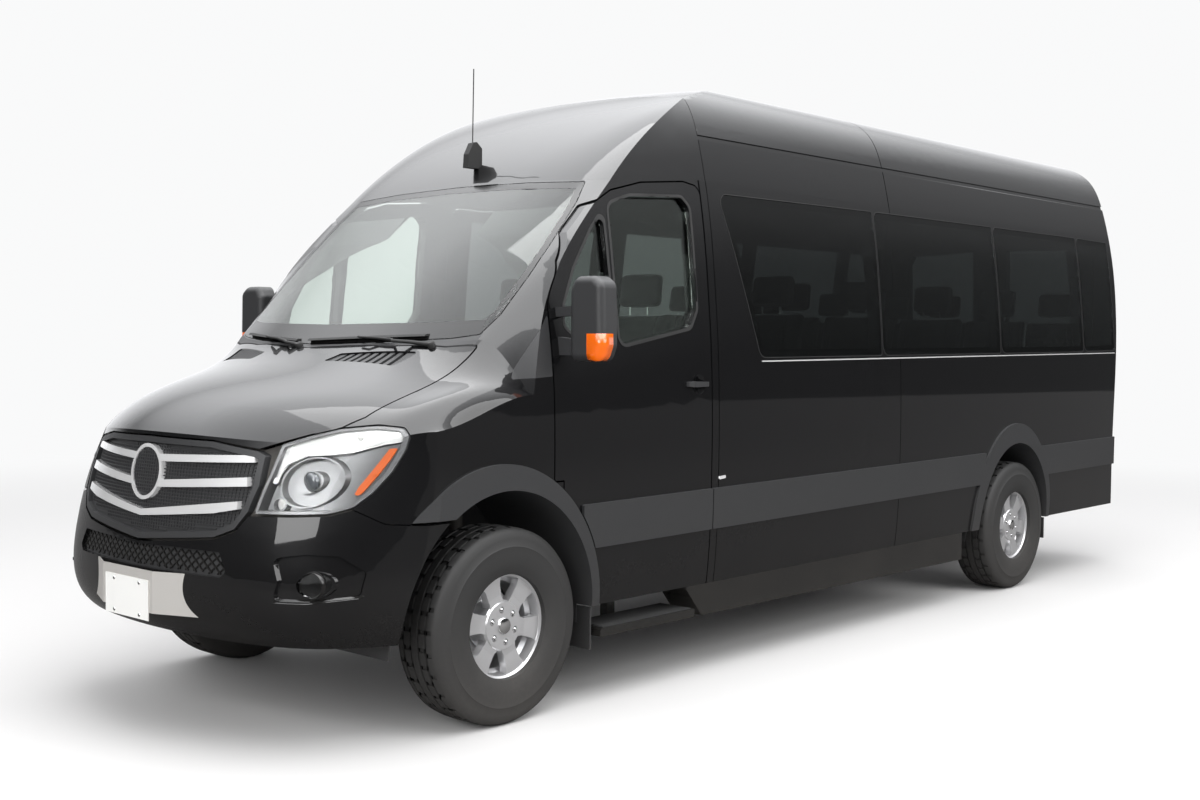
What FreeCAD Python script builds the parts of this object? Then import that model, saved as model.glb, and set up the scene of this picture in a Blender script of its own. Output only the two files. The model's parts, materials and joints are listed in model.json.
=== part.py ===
# Minibus with a high roof, four seat rows and six-spoke alloy wheels
# Millimetres, Z up, the front faces -Y, the driver's side is +X, ground at Z = 0
import FreeCAD, Part
import math
import os
from FreeCAD import Vector as V

os.makedirs("parts", exist_ok=True)

# Driving dimensions

WHEELBASE = 4325.0
TRACK = 1712.0
TYRE_RADIUS = 387.0
TYRE_WIDTH = 245.0
RIM_RADIUS = 203.0
RIM_FLANGE = 220.5
BODY_HALF_WIDTH = 987.0
FRONT_AXLE_Y = -2435.0
FRONT_OVERHANG = 1018.0
REAR_OVERHANG = 1575.0
SILL_Z = 405.0
FLOOR_Z = 640.0
FLOOR_THICK = 28.0
GUTTER_Z = 2224.0
GAP = 7.0
GLASS = 6.0
HOOD_SKIN = 26.0
ROOF_SKIN = 45.0
WALL = 62.0
DOOR_THICK = 62.0
FENDER_SKIN = 26.0
BUMPER_SKIN = 26.0

REAR_AXLE_Y = FRONT_AXLE_Y + WHEELBASE
REAR_END_Y = REAR_AXLE_Y + REAR_OVERHANG
WHEEL_X = TRACK / 2.0


def fy(y):
    # Distance behind the front axle
    return FRONT_AXLE_Y + y


def ry(y):
    # Distance behind the rear axle
    return REAR_AXLE_Y + y


def ey(y):
    # Distance behind the rear end of the side wall
    return REAR_END_Y + y


# Small geometry helpers

def box(x0, x1, y0, y1, z0, z1):
    return Part.makeBox(x1 - x0, y1 - y0, z1 - z0, V(x0, y0, z0))


def cyl(r, a, b):
    d = b - a
    return Part.makeCylinder(r, d.Length, a, d)


def mirror_x(shape):
    return shape.mirror(V(0, 0, 0), V(1, 0, 0))


def both(shape):
    return [shape, mirror_x(shape)]


def spline(pts):
    c = Part.BSplineCurve()
    c.interpolate(pts)
    return c.toShape()


def corner_wire(pts, radii):
    # Closed wire of straight edges with a tangent arc at each corner
    n = len(pts)
    if not isinstance(radii, (list, tuple)):
        radii = [radii] * n
    starts = []
    ends = []
    mids = []
    for i in range(n):
        p = pts[i]
        a = (pts[i - 1] - p)
        b = (pts[(i + 1) % n] - p)
        la = a.Length
        lb = b.Length
        a.normalize()
        b.normalize()
        half = a.getAngle(b) / 2.0
        r = radii[i]
        if r <= 0 or half > math.pi / 2 - 0.02:
            starts.append(p)
            ends.append(p)
            mids.append(None)
            continue
        t = min(r / math.tan(half), 0.49 * la, 0.49 * lb)
        r = t * math.tan(half)
        bis = a + b
        bis.normalize()
        centre = p + bis * (r / math.sin(half))
        starts.append(p + a * t)
        ends.append(p + b * t)
        mids.append(centre - bis * r)
    edges = []
    for i in range(n):
        if mids[i] is not None:
            edges.append(Part.Arc(starts[i], mids[i], ends[i]).toShape())
        nxt = starts[(i + 1) % n]
        if (nxt - ends[i]).Length > 0.01:
            edges.append(Part.makeLine(ends[i], nxt))
    return Part.Wire(edges)


def prism_x(yz, x0, x1, radii=0):
    pts = [V(x0, y, z) for y, z in yz]
    return Part.Face(corner_wire(pts, radii)).extrude(V(x1 - x0, 0, 0))


def prism_y(xz, y0, y1, radii=0):
    pts = [V(x, y0, z) for x, z in xz]
    return Part.Face(corner_wire(pts, radii)).extrude(V(0, y1 - y0, 0))


def prism_z(xy, z0, z1, radii=0):
    pts = [V(x, y, z0) for x, y in xy]
    return Part.Face(corner_wire(pts, radii)).extrude(V(0, 0, z1 - z0))


def spline_prism_x(yz, x0, x1, closing):
    # Curved line through yz, closed by the straight corner points
    pts = [V(x0, y, z) for y, z in yz]
    edges = [spline(pts)]
    last = pts[-1]
    for y, z in closing:
        nxt = V(x0, y, z)
        edges.append(Part.makeLine(last, nxt))
        last = nxt
    edges.append(Part.makeLine(last, pts[0]))
    return Part.Face(Part.Wire(edges)).extrude(V(x1 - x0, 0, 0))


def fuse(shapes):
    out = shapes[0]
    if len(shapes) > 1:
        out = out.fuse(shapes[1:])
    return out.removeSplitter()


def save(name, shapes, least=200.0):
    if not isinstance(shapes, (list, tuple)):
        shapes = [shapes]
    solids = []
    for s in shapes:
        for one in s.Solids:
            if one.Volume > least:
                solids.append(one)
    if len(solids) == 1:
        out = solids[0]
    else:
        out = Part.makeCompound(solids)
    out.exportStep("parts/" + name + ".step")
    bad = [s for s in solids if not s.isValid()]
    note = "" if not bad else "  INVALID " + str(len(bad))
    print(name, len(solids), round(out.Volume / 1000.0), note)
    return out


# Body envelope: lengthwise profiles lofted across the width, met by a side surface

# Height, y behind the front axle, then how far the line falls back and lifts
# towards the sides: square term, eighth-power term, height terms, shoulder, roll
STATIONS = [0.0, 300.0, 550.0, 720.0, 820.0, 900.0, 950.0, 1000.0]
PROFILE = [
    ("bot", -940, 385, 210, 400, 0, 0, 0, 0),
    ("lip", -1012, 470, 210, 410, 0, 0, 0, 0),
    ("bump", -1018, 735, 215, 420, 5, 0, 0, 0),
    ("grille", -990, 960, 300, 330, 5, 0, 0, 0),
    ("hoodf", -965, 1145, 417, 186, -64, 110, 0, -20),
    ("hood1", -880, 1224, 452, 169, -55, 115, 0, -100),
    ("hood2", -600, 1348, 444, 119, -68, 70, 0, -110),
    ("wsb", -215, 1470, 290, 60, 40, 0, -190, -40),
    ("wsm", 205, 1845, 180, 0, 0, 0, 0, 0),
    ("wst", 633, 2200, 25, 100, -30, 0, 0, 0),
    ("cap1", 900, 2438, 30, 170, -40, 0, 0, 0),
    ("cap2", 1250, 2640, 60, 250, -40, 0, 0, 0),
    ("cap3", 1750, 2740, 100, 200, -20, 0, 0, 0),
    ("roof", 2500, 2790, 0, 0, 0, 0, 0, 0),
    ("roofr", -395, 2790, 0, 0, 0, 0, 0, 0),
    ("rear1", -105, 2680, -60, -160, -40, 0, 0, 0),
    ("rear2", -28, 2380, -60, -110, 0, 0, 0, 0),
    ("rear3", 0, 1500, -45, -95, 0, 0, 0, 0),
    ("rearb", -5, 385, -45, -95, 0, 0, 0, 0),
]
REAR_POINTS = ("roofr", "rear1", "rear2", "rear3", "rearb")
SKIRT_Z = 200.0


def profile_point(row, x):
    name, y0, z0, a, b, c, e, s, r = row
    u = abs(x) / BODY_HALF_WIDTH * 0.987
    t = min(max((u - 0.83) / 0.155, 0.0), 1.0)
    shoulder = t * t * (3.0 - 2.0 * t)
    roll = max(0.0, (u - 0.92) / 0.065) ** 2
    back = a * u * u + b * u ** 8
    up = c * u * u + e * u ** 8 + s * shoulder + r * roll
    if name in REAR_POINTS:
        y = ey(y0 + back)
    else:
        y = fy(y0 + back) + (1018.0 - FRONT_OVERHANG) * (y0 < -300)
    return (y, z0 + up)


def inset_profile(pts, d):
    # Moves each point of an open line to its right-hand side by d
    out = []
    n = len(pts)
    for i in range(n):
        a = pts[max(i - 1, 0)]
        b = pts[min(i + 1, n - 1)]
        ty = b[0] - a[0]
        tz = b[1] - a[1]
        m = math.hypot(ty, tz)
        out.append((pts[i][0] + d * tz / m, pts[i][1] - d * ty / m))
    return out


def profile_wire(x, d, front):
    names = [r[0] for r in PROFILE]
    pts = [profile_point(r, x) for r in PROFILE]
    if d:
        pts = inset_profile(pts, d)
    low = SKIRT_Z - (60.0 if d else 0.0)
    p = [V(x, y, z) for y, z in pts]
    at = dict(zip(names, p))
    if front:
        start = V(x, at["bot"].y, low)
        end = V(x, at["roof"].y, low)
        keys = [
            ["bot", "lip", "bump", "grille", "hoodf"],
            ["hoodf", "hood1", "hood2", "wsb"],
            ["wsb", "wsm", "wst"],
            ["wst", "cap1", "cap2", "cap3", "roof"],
        ]
    else:
        start = V(x, fy(FRONT_HALF_END - 600.0), low)
        end = V(x, at["rearb"].y, low)
        at["roof"] = V(x, start.y, at["roof"].z)
        keys = [
            ["roof", "roofr"],
            ["roofr", "rear1", "rear2", "rear3", "rearb"],
        ]
    edges = [Part.makeLine(end, start)]
    edges.append(Part.makeLine(start, at[keys[0][0]]))
    for k in keys:
        if len(k) == 2:
            edges.append(Part.makeLine(at[k[0]], at[k[1]]))
        else:
            edges.append(spline([at[n] for n in k]))
    edges.append(Part.makeLine(at[keys[-1][-1]], end))
    return Part.Wire(edges)


# Side section: height, distance in from the widest line, how much the cab narrows
SIDE_SECTION = [
    (300, 42, 0), (550, 12, 0), (850, 1, 0), (1150, 0, 0), (1300, 3, 2), (1450, 9, 10),
    (1730, 30, 34), (2000, 58, 52), (2230, 95, 62), (2410, 135, 66), (2525, 172, 66),
    (2610, 222, 62), (2680, 307, 55), (2725, 437, 42), (2748, 637, 25), (2757, 987, 0),
]
NARROWING = [(-1300, 1.25), (-650, 1.2), (0, 1.05), (650, 0.6), (1300, 0.0), (1950, 0.0)]
FRONT_HALF_END = 1500.0


def side_wire(y, g, d):
    right = []
    for z, dx, narrow in SIDE_SECTION:
        right.append((BODY_HALF_WIDTH - dx - narrow * g, z))
    if d:
        moved = []
        n = len(right)
        for i in range(n):
            a = right[max(i - 1, 0)]
            b = right[min(i + 1, n - 1)]
            tx = b[0] - a[0]
            tz = b[1] - a[1]
            if i == n - 1:
                tx, tz = -1.0, 0.0
            m = math.hypot(tx, tz)
            moved.append((right[i][0] - d * tz / m, right[i][1] + d * tx / m))
        right = moved
    low = 300.0 - 220.0 - (60.0 if d else 0.0)
    r = [V(x, y, z) for x, z in right]
    left = [V(-p.x, y, p.z) for p in reversed(r[:-1])]
    foot_r = V(r[0].x, y, low)
    foot_l = V(-r[0].x, y, low)
    edges = [spline(r + left), Part.makeLine(left[-1], foot_l)]
    edges.append(Part.makeLine(foot_l, foot_r))
    edges.append(Part.makeLine(foot_r, r[0]))
    return Part.Wire(edges)


CACHE = {}


def envelope(d, front):
    key = (d, front)
    if key not in CACHE:
        wires = []
        stations = STATIONS if front else STATIONS[::2] + [1040.0]
        for x in [-s for s in reversed(stations[1:])] + stations:
            wires.append(profile_wire(x, d, front))
        body = Part.makeLoft(wires, True, False)
        if front:
            sides = Part.makeLoft([side_wire(fy(y), g, d) for y, g in NARROWING], True, False)
        else:
            base = side_wire(fy(FRONT_HALF_END - 500.0), 0.0, d)
            sides = Part.Face(base).extrude(V(0, ey(500.0) - fy(FRONT_HALF_END - 500.0), 0))
        CACHE[key] = sides.common(body)
    return CACHE[key]


# Zones keep each cut local: front half or back half, then the box limits
ZONES = {
    "side": (False, 250.0, 1100.0, 1200.0, 6300.0, 380.0, 2330.0),
    "roof": (False, -1100.0, 1100.0, 1305.0, 6300.0, 2120.0, 2900.0),
    "rear": (False, -1100.0, 1100.0, 5480.0, 6300.0, 380.0, 2900.0),
    "nose": (True, -1100.0, 1100.0, -1200.0, 420.0, 300.0, 1640.0),
    "corner": (True, 540.0, 1100.0, -1100.0, 420.0, 380.0, 1640.0),
    "cab": (True, -1100.0, 1100.0, -450.0, 1290.0, 1250.0, 2330.0),
    "door": (True, 300.0, 1100.0, 180.0, 1290.0, 380.0, 2330.0),
    "cap": (True, -1100.0, 1100.0, 300.0, 1301.0, 2120.0, 2900.0),
}


def zone(name, d):
    key = (name, d)
    if key not in CACHE:
        front, x0, x1, y0, y1, z0, z1 = ZONES[name]
        CACHE[key] = envelope(d, front).common(box(x0, x1, fy(y0), fy(y1), z0, z1))
    return CACHE[key]


def panel(name, a, b, region):
    # The wall between two depths, inside one region
    return zone(name, a).common(region).cut(zone(name, b))


# Outlines of the openings and panels, seen along one axis, x or y then z

def grown(wire, d):
    if d == 0:
        return wire
    return wire.makeOffset2D(d)


def region_x(yz, x0, x1, radii=0, grow=0):
    w = grown(corner_wire([V(x0, y, z) for y, z in yz], radii), grow)
    return Part.Face(w).extrude(V(x1 - x0, 0, 0))


def region_y(xz, y0, y1, radii=0, grow=0):
    w = grown(corner_wire([V(x, y0, z) for x, z in xz], radii), grow)
    return Part.Face(w).extrude(V(0, y1 - y0, 0))


def region_z(xy, z0, z1, radii=0, grow=0):
    w = grown(corner_wire([V(x, y, z0) for x, y in xy], radii), grow)
    return Part.Face(w).extrude(V(0, 0, z1 - z0))


def half_outline(pts):
    # Mirrors an outline that starts and ends on the centre line
    back = [(-a, b) for a, b in reversed(pts) if abs(a) > 0.01]
    return pts + back


OUT_X = BODY_HALF_WIDTH + 60.0
FAR_FRONT = fy(-1150.0)

# Wheel arches: half ellipses over the hub, with a raised flare round each
ARCH_SHIFT = -30.0
ARCH_HALF = 500.0
ARCH_RISE = 534.0
FLARE_SHIFT = -70.0
FLARE_HALF = 585.0
FLARE_TOP = 638.0
REAR_ARCH_SHIFT = -40.0
REAR_ARCH_HALF = 445.0
REAR_ARCH_RISE = 507.0
REAR_FLARE_SHIFT = -62.0
REAR_FLARE_HALF = 510.0
REAR_FLARE_TOP = 628.0
FLARE_OUT = 14.0


def arch_wire(x, yc, half, rise, low):
    # Half ellipse over the hub with straight legs down to low
    pts = []
    n = 10
    for i in range(n + 1):
        a = math.pi * i / n
        pts.append(V(x, yc + half * math.cos(a), TYRE_RADIUS + rise * math.sin(a)))
    a0 = V(x, yc + half, low)
    a1 = V(x, yc - half, low)
    edges = [spline(pts), Part.makeLine(pts[-1], a1), Part.makeLine(a1, a0)]
    edges.append(Part.makeLine(a0, pts[0]))
    return Part.Wire(edges)


def arch(x0, x1, yc, half, rise, low=0.0):
    return Part.Face(arch_wire(x0, yc, half, rise, low)).extrude(V(x1 - x0, 0, 0))


REAR_ARCH_Y = ry(REAR_ARCH_SHIFT)
FRONT_ARCH = arch(-OUT_X, OUT_X, fy(ARCH_SHIFT), ARCH_HALF, ARCH_RISE)
REAR_ARCH = arch(-OUT_X, OUT_X, REAR_ARCH_Y, REAR_ARCH_HALF, REAR_ARCH_RISE)
FRONT_FLARE = arch(-OUT_X, OUT_X, fy(FLARE_SHIFT), FLARE_HALF, FLARE_TOP)
REAR_FLARE = arch(-OUT_X, OUT_X, ry(REAR_FLARE_SHIFT), REAR_FLARE_HALF, REAR_FLARE_TOP)
FRONT_FLARE_GAP = arch(-OUT_X, OUT_X, fy(FLARE_SHIFT), FLARE_HALF + GAP, FLARE_TOP + GAP)

# Seam between the roof and what carries it, seen from the side
SEAM = [(500, 2172), (655, 2183), (760, 2205), (900, 2218), (1150, GUTTER_Z)]


def above_seam(d):
    pts = [(fy(y), z + d) for y, z in SEAM]
    pts.append((ey(200.0), GUTTER_Z + d))
    pts.append((ey(200.0), 3000.0))
    pts.append((fy(300.0), 3000.0))
    pts.append((fy(300.0), 2160.0 + d))
    return prism_x(pts, -OUT_X, OUT_X)


# Windscreen, with its glass seated in a rebate
SCREEN = half_outline([(0, 1474), (430, 1486), (700, 1502), (800, 1518), (824, 1600), (828, 1760),
                       (820, 1905), (794, 2080), (758, 2176), (430, 2192), (0, 2199)])
SCREEN_R = 24.0


def screen_region(grow):
    r = [0] + [SCREEN_R] * (len(SCREEN) - 1)
    return region_y(SCREEN, fy(-420.0), fy(760.0), 8.0, grow)


# Cab door, from the arch to the rear edge
DOOR_FRONT_Y = 235.0
DOOR_REAR_Y = 1250.0
DOOR_STEP_Y = 290.0
DOOR_STEP_Z = 940.0
DOOR = [(DOOR_FRONT_Y, 1640), (DOOR_FRONT_Y, DOOR_STEP_Z), (DOOR_STEP_Y, DOOR_STEP_Z), (DOOR_STEP_Y, SILL_Z),
        (DOOR_REAR_Y, SILL_Z), (DOOR_REAR_Y, 2190), (1147, 2206), (872, 2180), (677, 2131), (552, 2061),
        (432, 1943), (332, 1817), (262, 1700)]
DOOR_R = [30, 10, 6, 6, 12, 45, 30, 60, 60, 60, 60, 60, 60]
DOOR_WINDOW = [(640, 1478), (1110, 1560), (1160, 1640), (1165, 2095), (1120, 2135), (790, 2116),
               (650, 2072)]
DOOR_WINDOW_R = [40, 40, 50, 45, 30, 60, 50]
QUARTER = [(400, 1500), (608, 1482), (608, 2036), (530, 1955), (408, 1790), (330, 1640), (318, 1560)]
QUARTER_R = [40, 20, 25, 30, 60, 30, 30]


def outline_fy(pts):
    return [(fy(y), z) for y, z in pts]


def door_region(grow):
    return region_x(outline_fy(DOOR), 300.0, OUT_X, DOOR_R, grow)


# Hinges: the axis of each door, its pin, and the round eye about the pin
HINGE_X = 975.0
HINGE_Y = 250.0
HINGE_PIN = 4.0
HINGE_EYE = 7.0
HINGE_ARM = 4.5
HINGE_FIT = 0.05
HINGE_LEVELS = (985.0, 1165.0)
HINGE_THICK = 14.0
HINGE_CLEAR = 1.5
HINGE_PIN_OUT = 22.0
POST_X = 905.0


def hinge_arms():
    # Arms from the inner post to the cab door's axis, each with its pin
    out = []
    for z in HINGE_LEVELS:
        eye = V(HINGE_X, fy(HINGE_Y), z)
        arm = box(POST_X - 2.0, HINGE_X, fy(HINGE_Y) - HINGE_ARM, fy(HINGE_Y) + HINGE_ARM, z, z + HINGE_THICK)
        out.append(arm)
        out.append(cyl(HINGE_EYE, eye, eye + V(0, 0, HINGE_THICK)))
        out.append(cyl(HINGE_PIN, eye - V(0, 0, HINGE_PIN_OUT), eye + V(0, 0, HINGE_THICK + HINGE_PIN_OUT)))
    return out


def hinge_notches():
    # Room in the cab door for each arm as the door turns, and the pin's bore
    out = []
    reach = HINGE_EYE + HINGE_CLEAR
    for z in HINGE_LEVELS:
        eye = V(HINGE_X, fy(HINGE_Y), z)
        out.append(box(POST_X - 30.0, HINGE_X + HINGE_ARM, fy(HINGE_Y) - 60.0,
                       fy(HINGE_Y) + HINGE_ARM + HINGE_CLEAR, z - HINGE_CLEAR, z + HINGE_THICK + HINGE_CLEAR))
        out.append(cyl(reach, eye - V(0, 0, HINGE_CLEAR), eye + V(0, 0, HINGE_THICK + HINGE_CLEAR)))
        out.append(cyl(HINGE_PIN + HINGE_FIT, eye - V(0, 0, HINGE_PIN_OUT + 1.0),
                       eye + V(0, 0, HINGE_THICK + HINGE_PIN_OUT + 1.0)))
    return out


REAR_HINGE_X = 800.0
REAR_HINGE_Y = -31.0
REAR_HINGE_PIN = 5.0
REAR_HINGE_EYE = 9.0
REAR_HINGE_LEVELS = (1400.0, 2080.0)
REAR_EYE_HIGH = 20.0
REAR_LEAF = 34.0


def rear_leaf(side, z0, z1):
    # Leaf from the axis into the panel beside it, with a round eye
    y = ey(REAR_HINGE_Y)
    x0 = min(REAR_HINGE_X, REAR_HINGE_X + side * REAR_LEAF)
    plate = box(x0, x0 + REAR_LEAF, y - 34.0, y + REAR_HINGE_EYE - 2.0, z0, z1)
    return plate.fuse(cyl(REAR_HINGE_EYE, V(REAR_HINGE_X, y, z0), V(REAR_HINGE_X, y, z1)))


def rear_wall_notches():
    # Room in the wall for the door's eyes
    out = []
    y = ey(REAR_HINGE_Y)
    for z in REAR_HINGE_LEVELS:
        out.append(box(REAR_HINGE_X - 60.0, REAR_HINGE_X + 2.0, y - 38.0, y + 12.0, z, z + REAR_EYE_HIGH))
        out.append(cyl(REAR_HINGE_EYE + 2.0, V(REAR_HINGE_X, y, z), V(REAR_HINGE_X, y, z + REAR_EYE_HIGH)))
    return out


def rear_body_eyes():
    # Two eyes at each level with the pin between them
    out = []
    for z in REAR_HINGE_LEVELS:
        top = z + REAR_EYE_HIGH + HINGE_THICK
        out.append(rear_leaf(1, z - HINGE_THICK, z))
        out.append(rear_leaf(1, top - HINGE_THICK, top))
        out.append(cyl(REAR_HINGE_PIN, V(REAR_HINGE_X, ey(REAR_HINGE_Y), z - 2.0),
                       V(REAR_HINGE_X, ey(REAR_HINGE_Y), top - 2.0)))
    return out


def rear_door_eyes():
    out = []
    for z in REAR_HINGE_LEVELS:
        eye = rear_leaf(-1, z + 0.5, z + REAR_EYE_HIGH - 0.5)
        out.append(eye.cut(cyl(REAR_HINGE_PIN + HINGE_FIT, V(REAR_HINGE_X, ey(REAR_HINGE_Y), z - 5.0),
                               V(REAR_HINGE_X, ey(REAR_HINGE_Y), z + REAR_EYE_HIGH + 5.0))))
    return out


# Door handle: a bridge over a round dish in the skin
HANDLE_Y = 1158.0
HANDLE_Z = 1309.0
HANDLE_LONG = 150.0
HANDLE_HIGH = 26.0
HANDLE_OUT = 26.0
DISH_R = 44.0
DISH_DEEP = 15.0
HANDLE_SKIN_X = BODY_HALF_WIDTH - 4.0


def handle_dish(y, z):
    r = (DISH_R ** 2 + DISH_DEEP ** 2) / (2.0 * DISH_DEEP)
    return Part.makeSphere(r, V(HANDLE_SKIN_X + r - DISH_DEEP, fy(y), z))


def door_handle(y, z, skin):
    # Plan of the bridge: feet on the skin, the middle clear of it
    x0 = HANDLE_SKIN_X
    y0 = y - HANDLE_LONG * 0.6
    y1 = y + HANDLE_LONG * 0.4
    plan = [(x0 - 12.0, fy(y0)), (x0 + 14.0, fy(y0 + 6.0)), (x0 + HANDLE_OUT, fy(y0 + 30.0)),
            (x0 + HANDLE_OUT, fy(y1 - 24.0)), (x0 + 12.0, fy(y1)), (x0 - 12.0, fy(y1)),
            (x0 - 12.0, fy(y1 - 16.0)), (x0 + 9.0, fy(y1 - 22.0)), (x0 + 9.0, fy(y0 + 30.0)),
            (x0 - 12.0, fy(y0 + 20.0))]
    bar = prism_z(plan, z - HANDLE_HIGH / 2, z + HANDLE_HIGH / 2, [0, 8, 16, 16, 10, 0, 0, 6, 6, 0])
    front = [(y0 - 4.0, z - 9.0), (y0 + 40.0, z - HANDLE_HIGH / 2), (y1 + 4.0, z - HANDLE_HIGH / 2 + 2.0),
             (y1 + 4.0, z + HANDLE_HIGH / 2 - 4.0), (y0 + 40.0, z + HANDLE_HIGH / 2), (y0 - 4.0, z + 9.0)]
    bar = bar.common(region_x(outline_fy(front), 900.0, OUT_X + 40.0, [6, 20, 8, 8, 20, 6]))
    return bar.cut(skin)


# Rear doors
REAR_DOOR_SIDE = 786.0
REAR_DOOR_LOW = 575.0
REAR_DOOR_TOP = 2505.0
REAR_DOOR = [(-REAR_DOOR_SIDE, REAR_DOOR_LOW), (REAR_DOOR_SIDE, REAR_DOOR_LOW),
             (REAR_DOOR_SIDE, 2250), (715, 2430), (520, REAR_DOOR_TOP),
             (-520, REAR_DOOR_TOP), (-715, 2430), (-REAR_DOOR_SIDE, 2250)]
REAR_DOOR_R = [25, 25, 90, 90, 120, 120, 90, 90]


def rear_door_region(grow):
    return region_y(REAR_DOOR, ey(-260.0), ey(120.0), REAR_DOOR_R, grow)


# Headlamp, grille and bumper, seen from the front
LAMP = [(616, 1116), (690, 1150), (760, 1175), (850, 1187), (918, 1178), (941, 1150), (937, 1100),
        (921, 1020), (896, 948), (866, 896), (819, 877), (718, 873), (588, 871), (598, 945), (608, 1010)]
LAMP_GAP = 4.0
LAMP_R = [6, 60, 60, 60, 25, 20, 60, 80, 80, 50, 40, 60, 12, 60, 60]
GRILLE = half_outline([(0, 1128), (350, 1122), (545, 1093), (578, 1078), (588, 969), (568, 876),
                       (524, 812), (432, 777), (0, 737)])
GRILLE_R = 14.0
BUMPER_TOP = [(0, 729), (434, 769), (530, 805), (572, 863), (722, 865), (822, 869), (868, 888),
              (893, 868), (928, 833), (975, 822), (OUT_X, 816)]


def lamp_region(grow):
    return region_y(LAMP, FAR_FRONT, fy(-330.0), LAMP_R, grow)


def grille_region(grow):
    return region_y(GRILLE, FAR_FRONT, fy(-600.0), GRILLE_R, grow)


def bumper_region(drop):
    top = [(x, z - drop) for x, z in BUMPER_TOP]
    pts = half_outline(top[:1] + top[1:] + [(OUT_X, 150.0)])
    return region_y(pts, FAR_FRONT, fy(-300.0))


# Hood, seen from above
HOOD_LIP_Z = 1132.0
HOOD_GAP = 6.0
HOOD = [(0, -1040), (560, -1040), (622, -812), (700, -726), (756, -640), (787, -560), (794, -440),
        (800, -300), (806, -100), (812, -34), (700, -92), (450, -172), (0, -238)]


def hood_plan(grow):
    pts = half_outline([(x, fy(y)) for x, y in HOOD])
    return region_z(pts, 900.0, 1700.0, 0, grow)


def hood_region(grow):
    # Above a lower limit that follows the lip and the lamp's top
    low = half_outline([(0, HOOD_LIP_Z), (350, HOOD_LIP_Z - 6), (545, HOOD_LIP_Z - 32),
                        (605, HOOD_LIP_Z - 10), (690, 1157), (OUT_X, 1160), (OUT_X, 1700), (0, 1700)])
    lim = region_y(low, FAR_FRONT, fy(300.0), 0, grow)
    return hood_plan(grow).common(lim)


# Body panels

FULL = box(-OUT_X - 100, OUT_X + 100, fy(-1300.0), ey(300.0), SILL_Z, 3200.0)
HALF_FULL = box(300.0, OUT_X + 100, fy(-1300.0), ey(300.0), SILL_Z, 3200.0)
SIDE_START = DOOR_REAR_Y + GAP

# Side windows: outline points seen from the side
WIN_TOP = 2186.0
WIN_LOW = 1432.0
PANES = [
    [(1632, 1426), (2715, 1432), (2715, 2184), (1384, 2172)],
    [(2731, WIN_LOW), (4064, 1440), (4064, 2188), (2731, 2184)],
    [(4080, 1440), (5238, 1448), (5238, 2190), (4080, 2188)],
    [(5254, 1449), (5742, 1456), (5742, 2184), (5254, 2190)],
]
SLIDE_PANE = [(1452, 1426), (2560, 1432), (2560, 2176), (1452, 2170)]
PANE_R = [55, 14, 14, 45]
PANE_LAND = 34.0
SLIDE_Y0 = 1330.0
SLIDE_Y1 = 2640.0
SLIDE_Z0 = 470.0
SLIDE_Z1 = 2196.0
SLIDE_HANDLE_Y = 1470.0
RAIL_END = 4880.0
RAIL_SLOT_Z = 1290.0
RAIL_SLOT_HIGH = 16.0


def pane_region(pts, grow, x0=300.0, x1=None):
    return region_x(outline_fy(pts), x0, OUT_X if x1 is None else x1, PANE_R, grow)



def seam_groove(name, region, depth=4.0):
    return zone(name, 0.0).common(region).cut(zone(name, depth))


# Side walls from the cab door to the rear doors
wall = panel("side", 0.0, WALL, box(300.0, OUT_X, fy(SIDE_START), ey(200.0), SILL_Z, 2330.0))
wall = wall.cut([above_seam(0.0), REAR_FLARE, rear_door_region(GAP)])
TAIL = [(866, 880), (OUT_X, 880), (OUT_X, 1396), (866, 1396), (830, 1340), (830, 936)]


def tail_region(grow):
    return region_y(TAIL, ey(-84.0), ey(80.0), 12.0, grow)


wall = wall.cut(panel("rear", 0.0, FENDER_SKIN, tail_region(0.3)))
pane_block = zone("side", 0.0).common([pane_region(p, 0.0) for p in PANES])
pane_layer = pane_block.cut(zone("side", GLASS))
slide_layer = panel("side", 0.0, GLASS, pane_region(SLIDE_PANE, 0.0))
shared = [pane_region(p, -PANE_LAND) for p in PANES[1:]]
wall = wall.cut(shared)
groove = seam_groove("side", box(300.0, OUT_X, fy(2905.0) - 2.5, fy(2905.0) + 2.5, SILL_Z, 2300.0))
groove2 = seam_groove("side", box(300.0, OUT_X, fy(1305.0) - 2.5, fy(1305.0) + 2.5, SILL_Z, 2300.0))
wall = wall.cut([groove, groove2] + [p for p in pane_layer.Solids if p.CenterOfMass.y > fy(2720.0)])
side_left = wall.cut([pane_region(PANES[0], -PANE_LAND)] +
                     [p for p in pane_layer.Solids if p.CenterOfMass.y < fy(2720.0)])
side_right = wall.cut([pane_region(SLIDE_PANE, -PANE_LAND), slide_layer])


def slide_region(grow):
    pts = [(SLIDE_Y0, SLIDE_Z0), (SLIDE_Y1, SLIDE_Z0), (SLIDE_Y1, SLIDE_Z1), (SLIDE_Y0, SLIDE_Z1)]
    return region_x(outline_fy(pts), 300.0, OUT_X, 60.0, grow)


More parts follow.
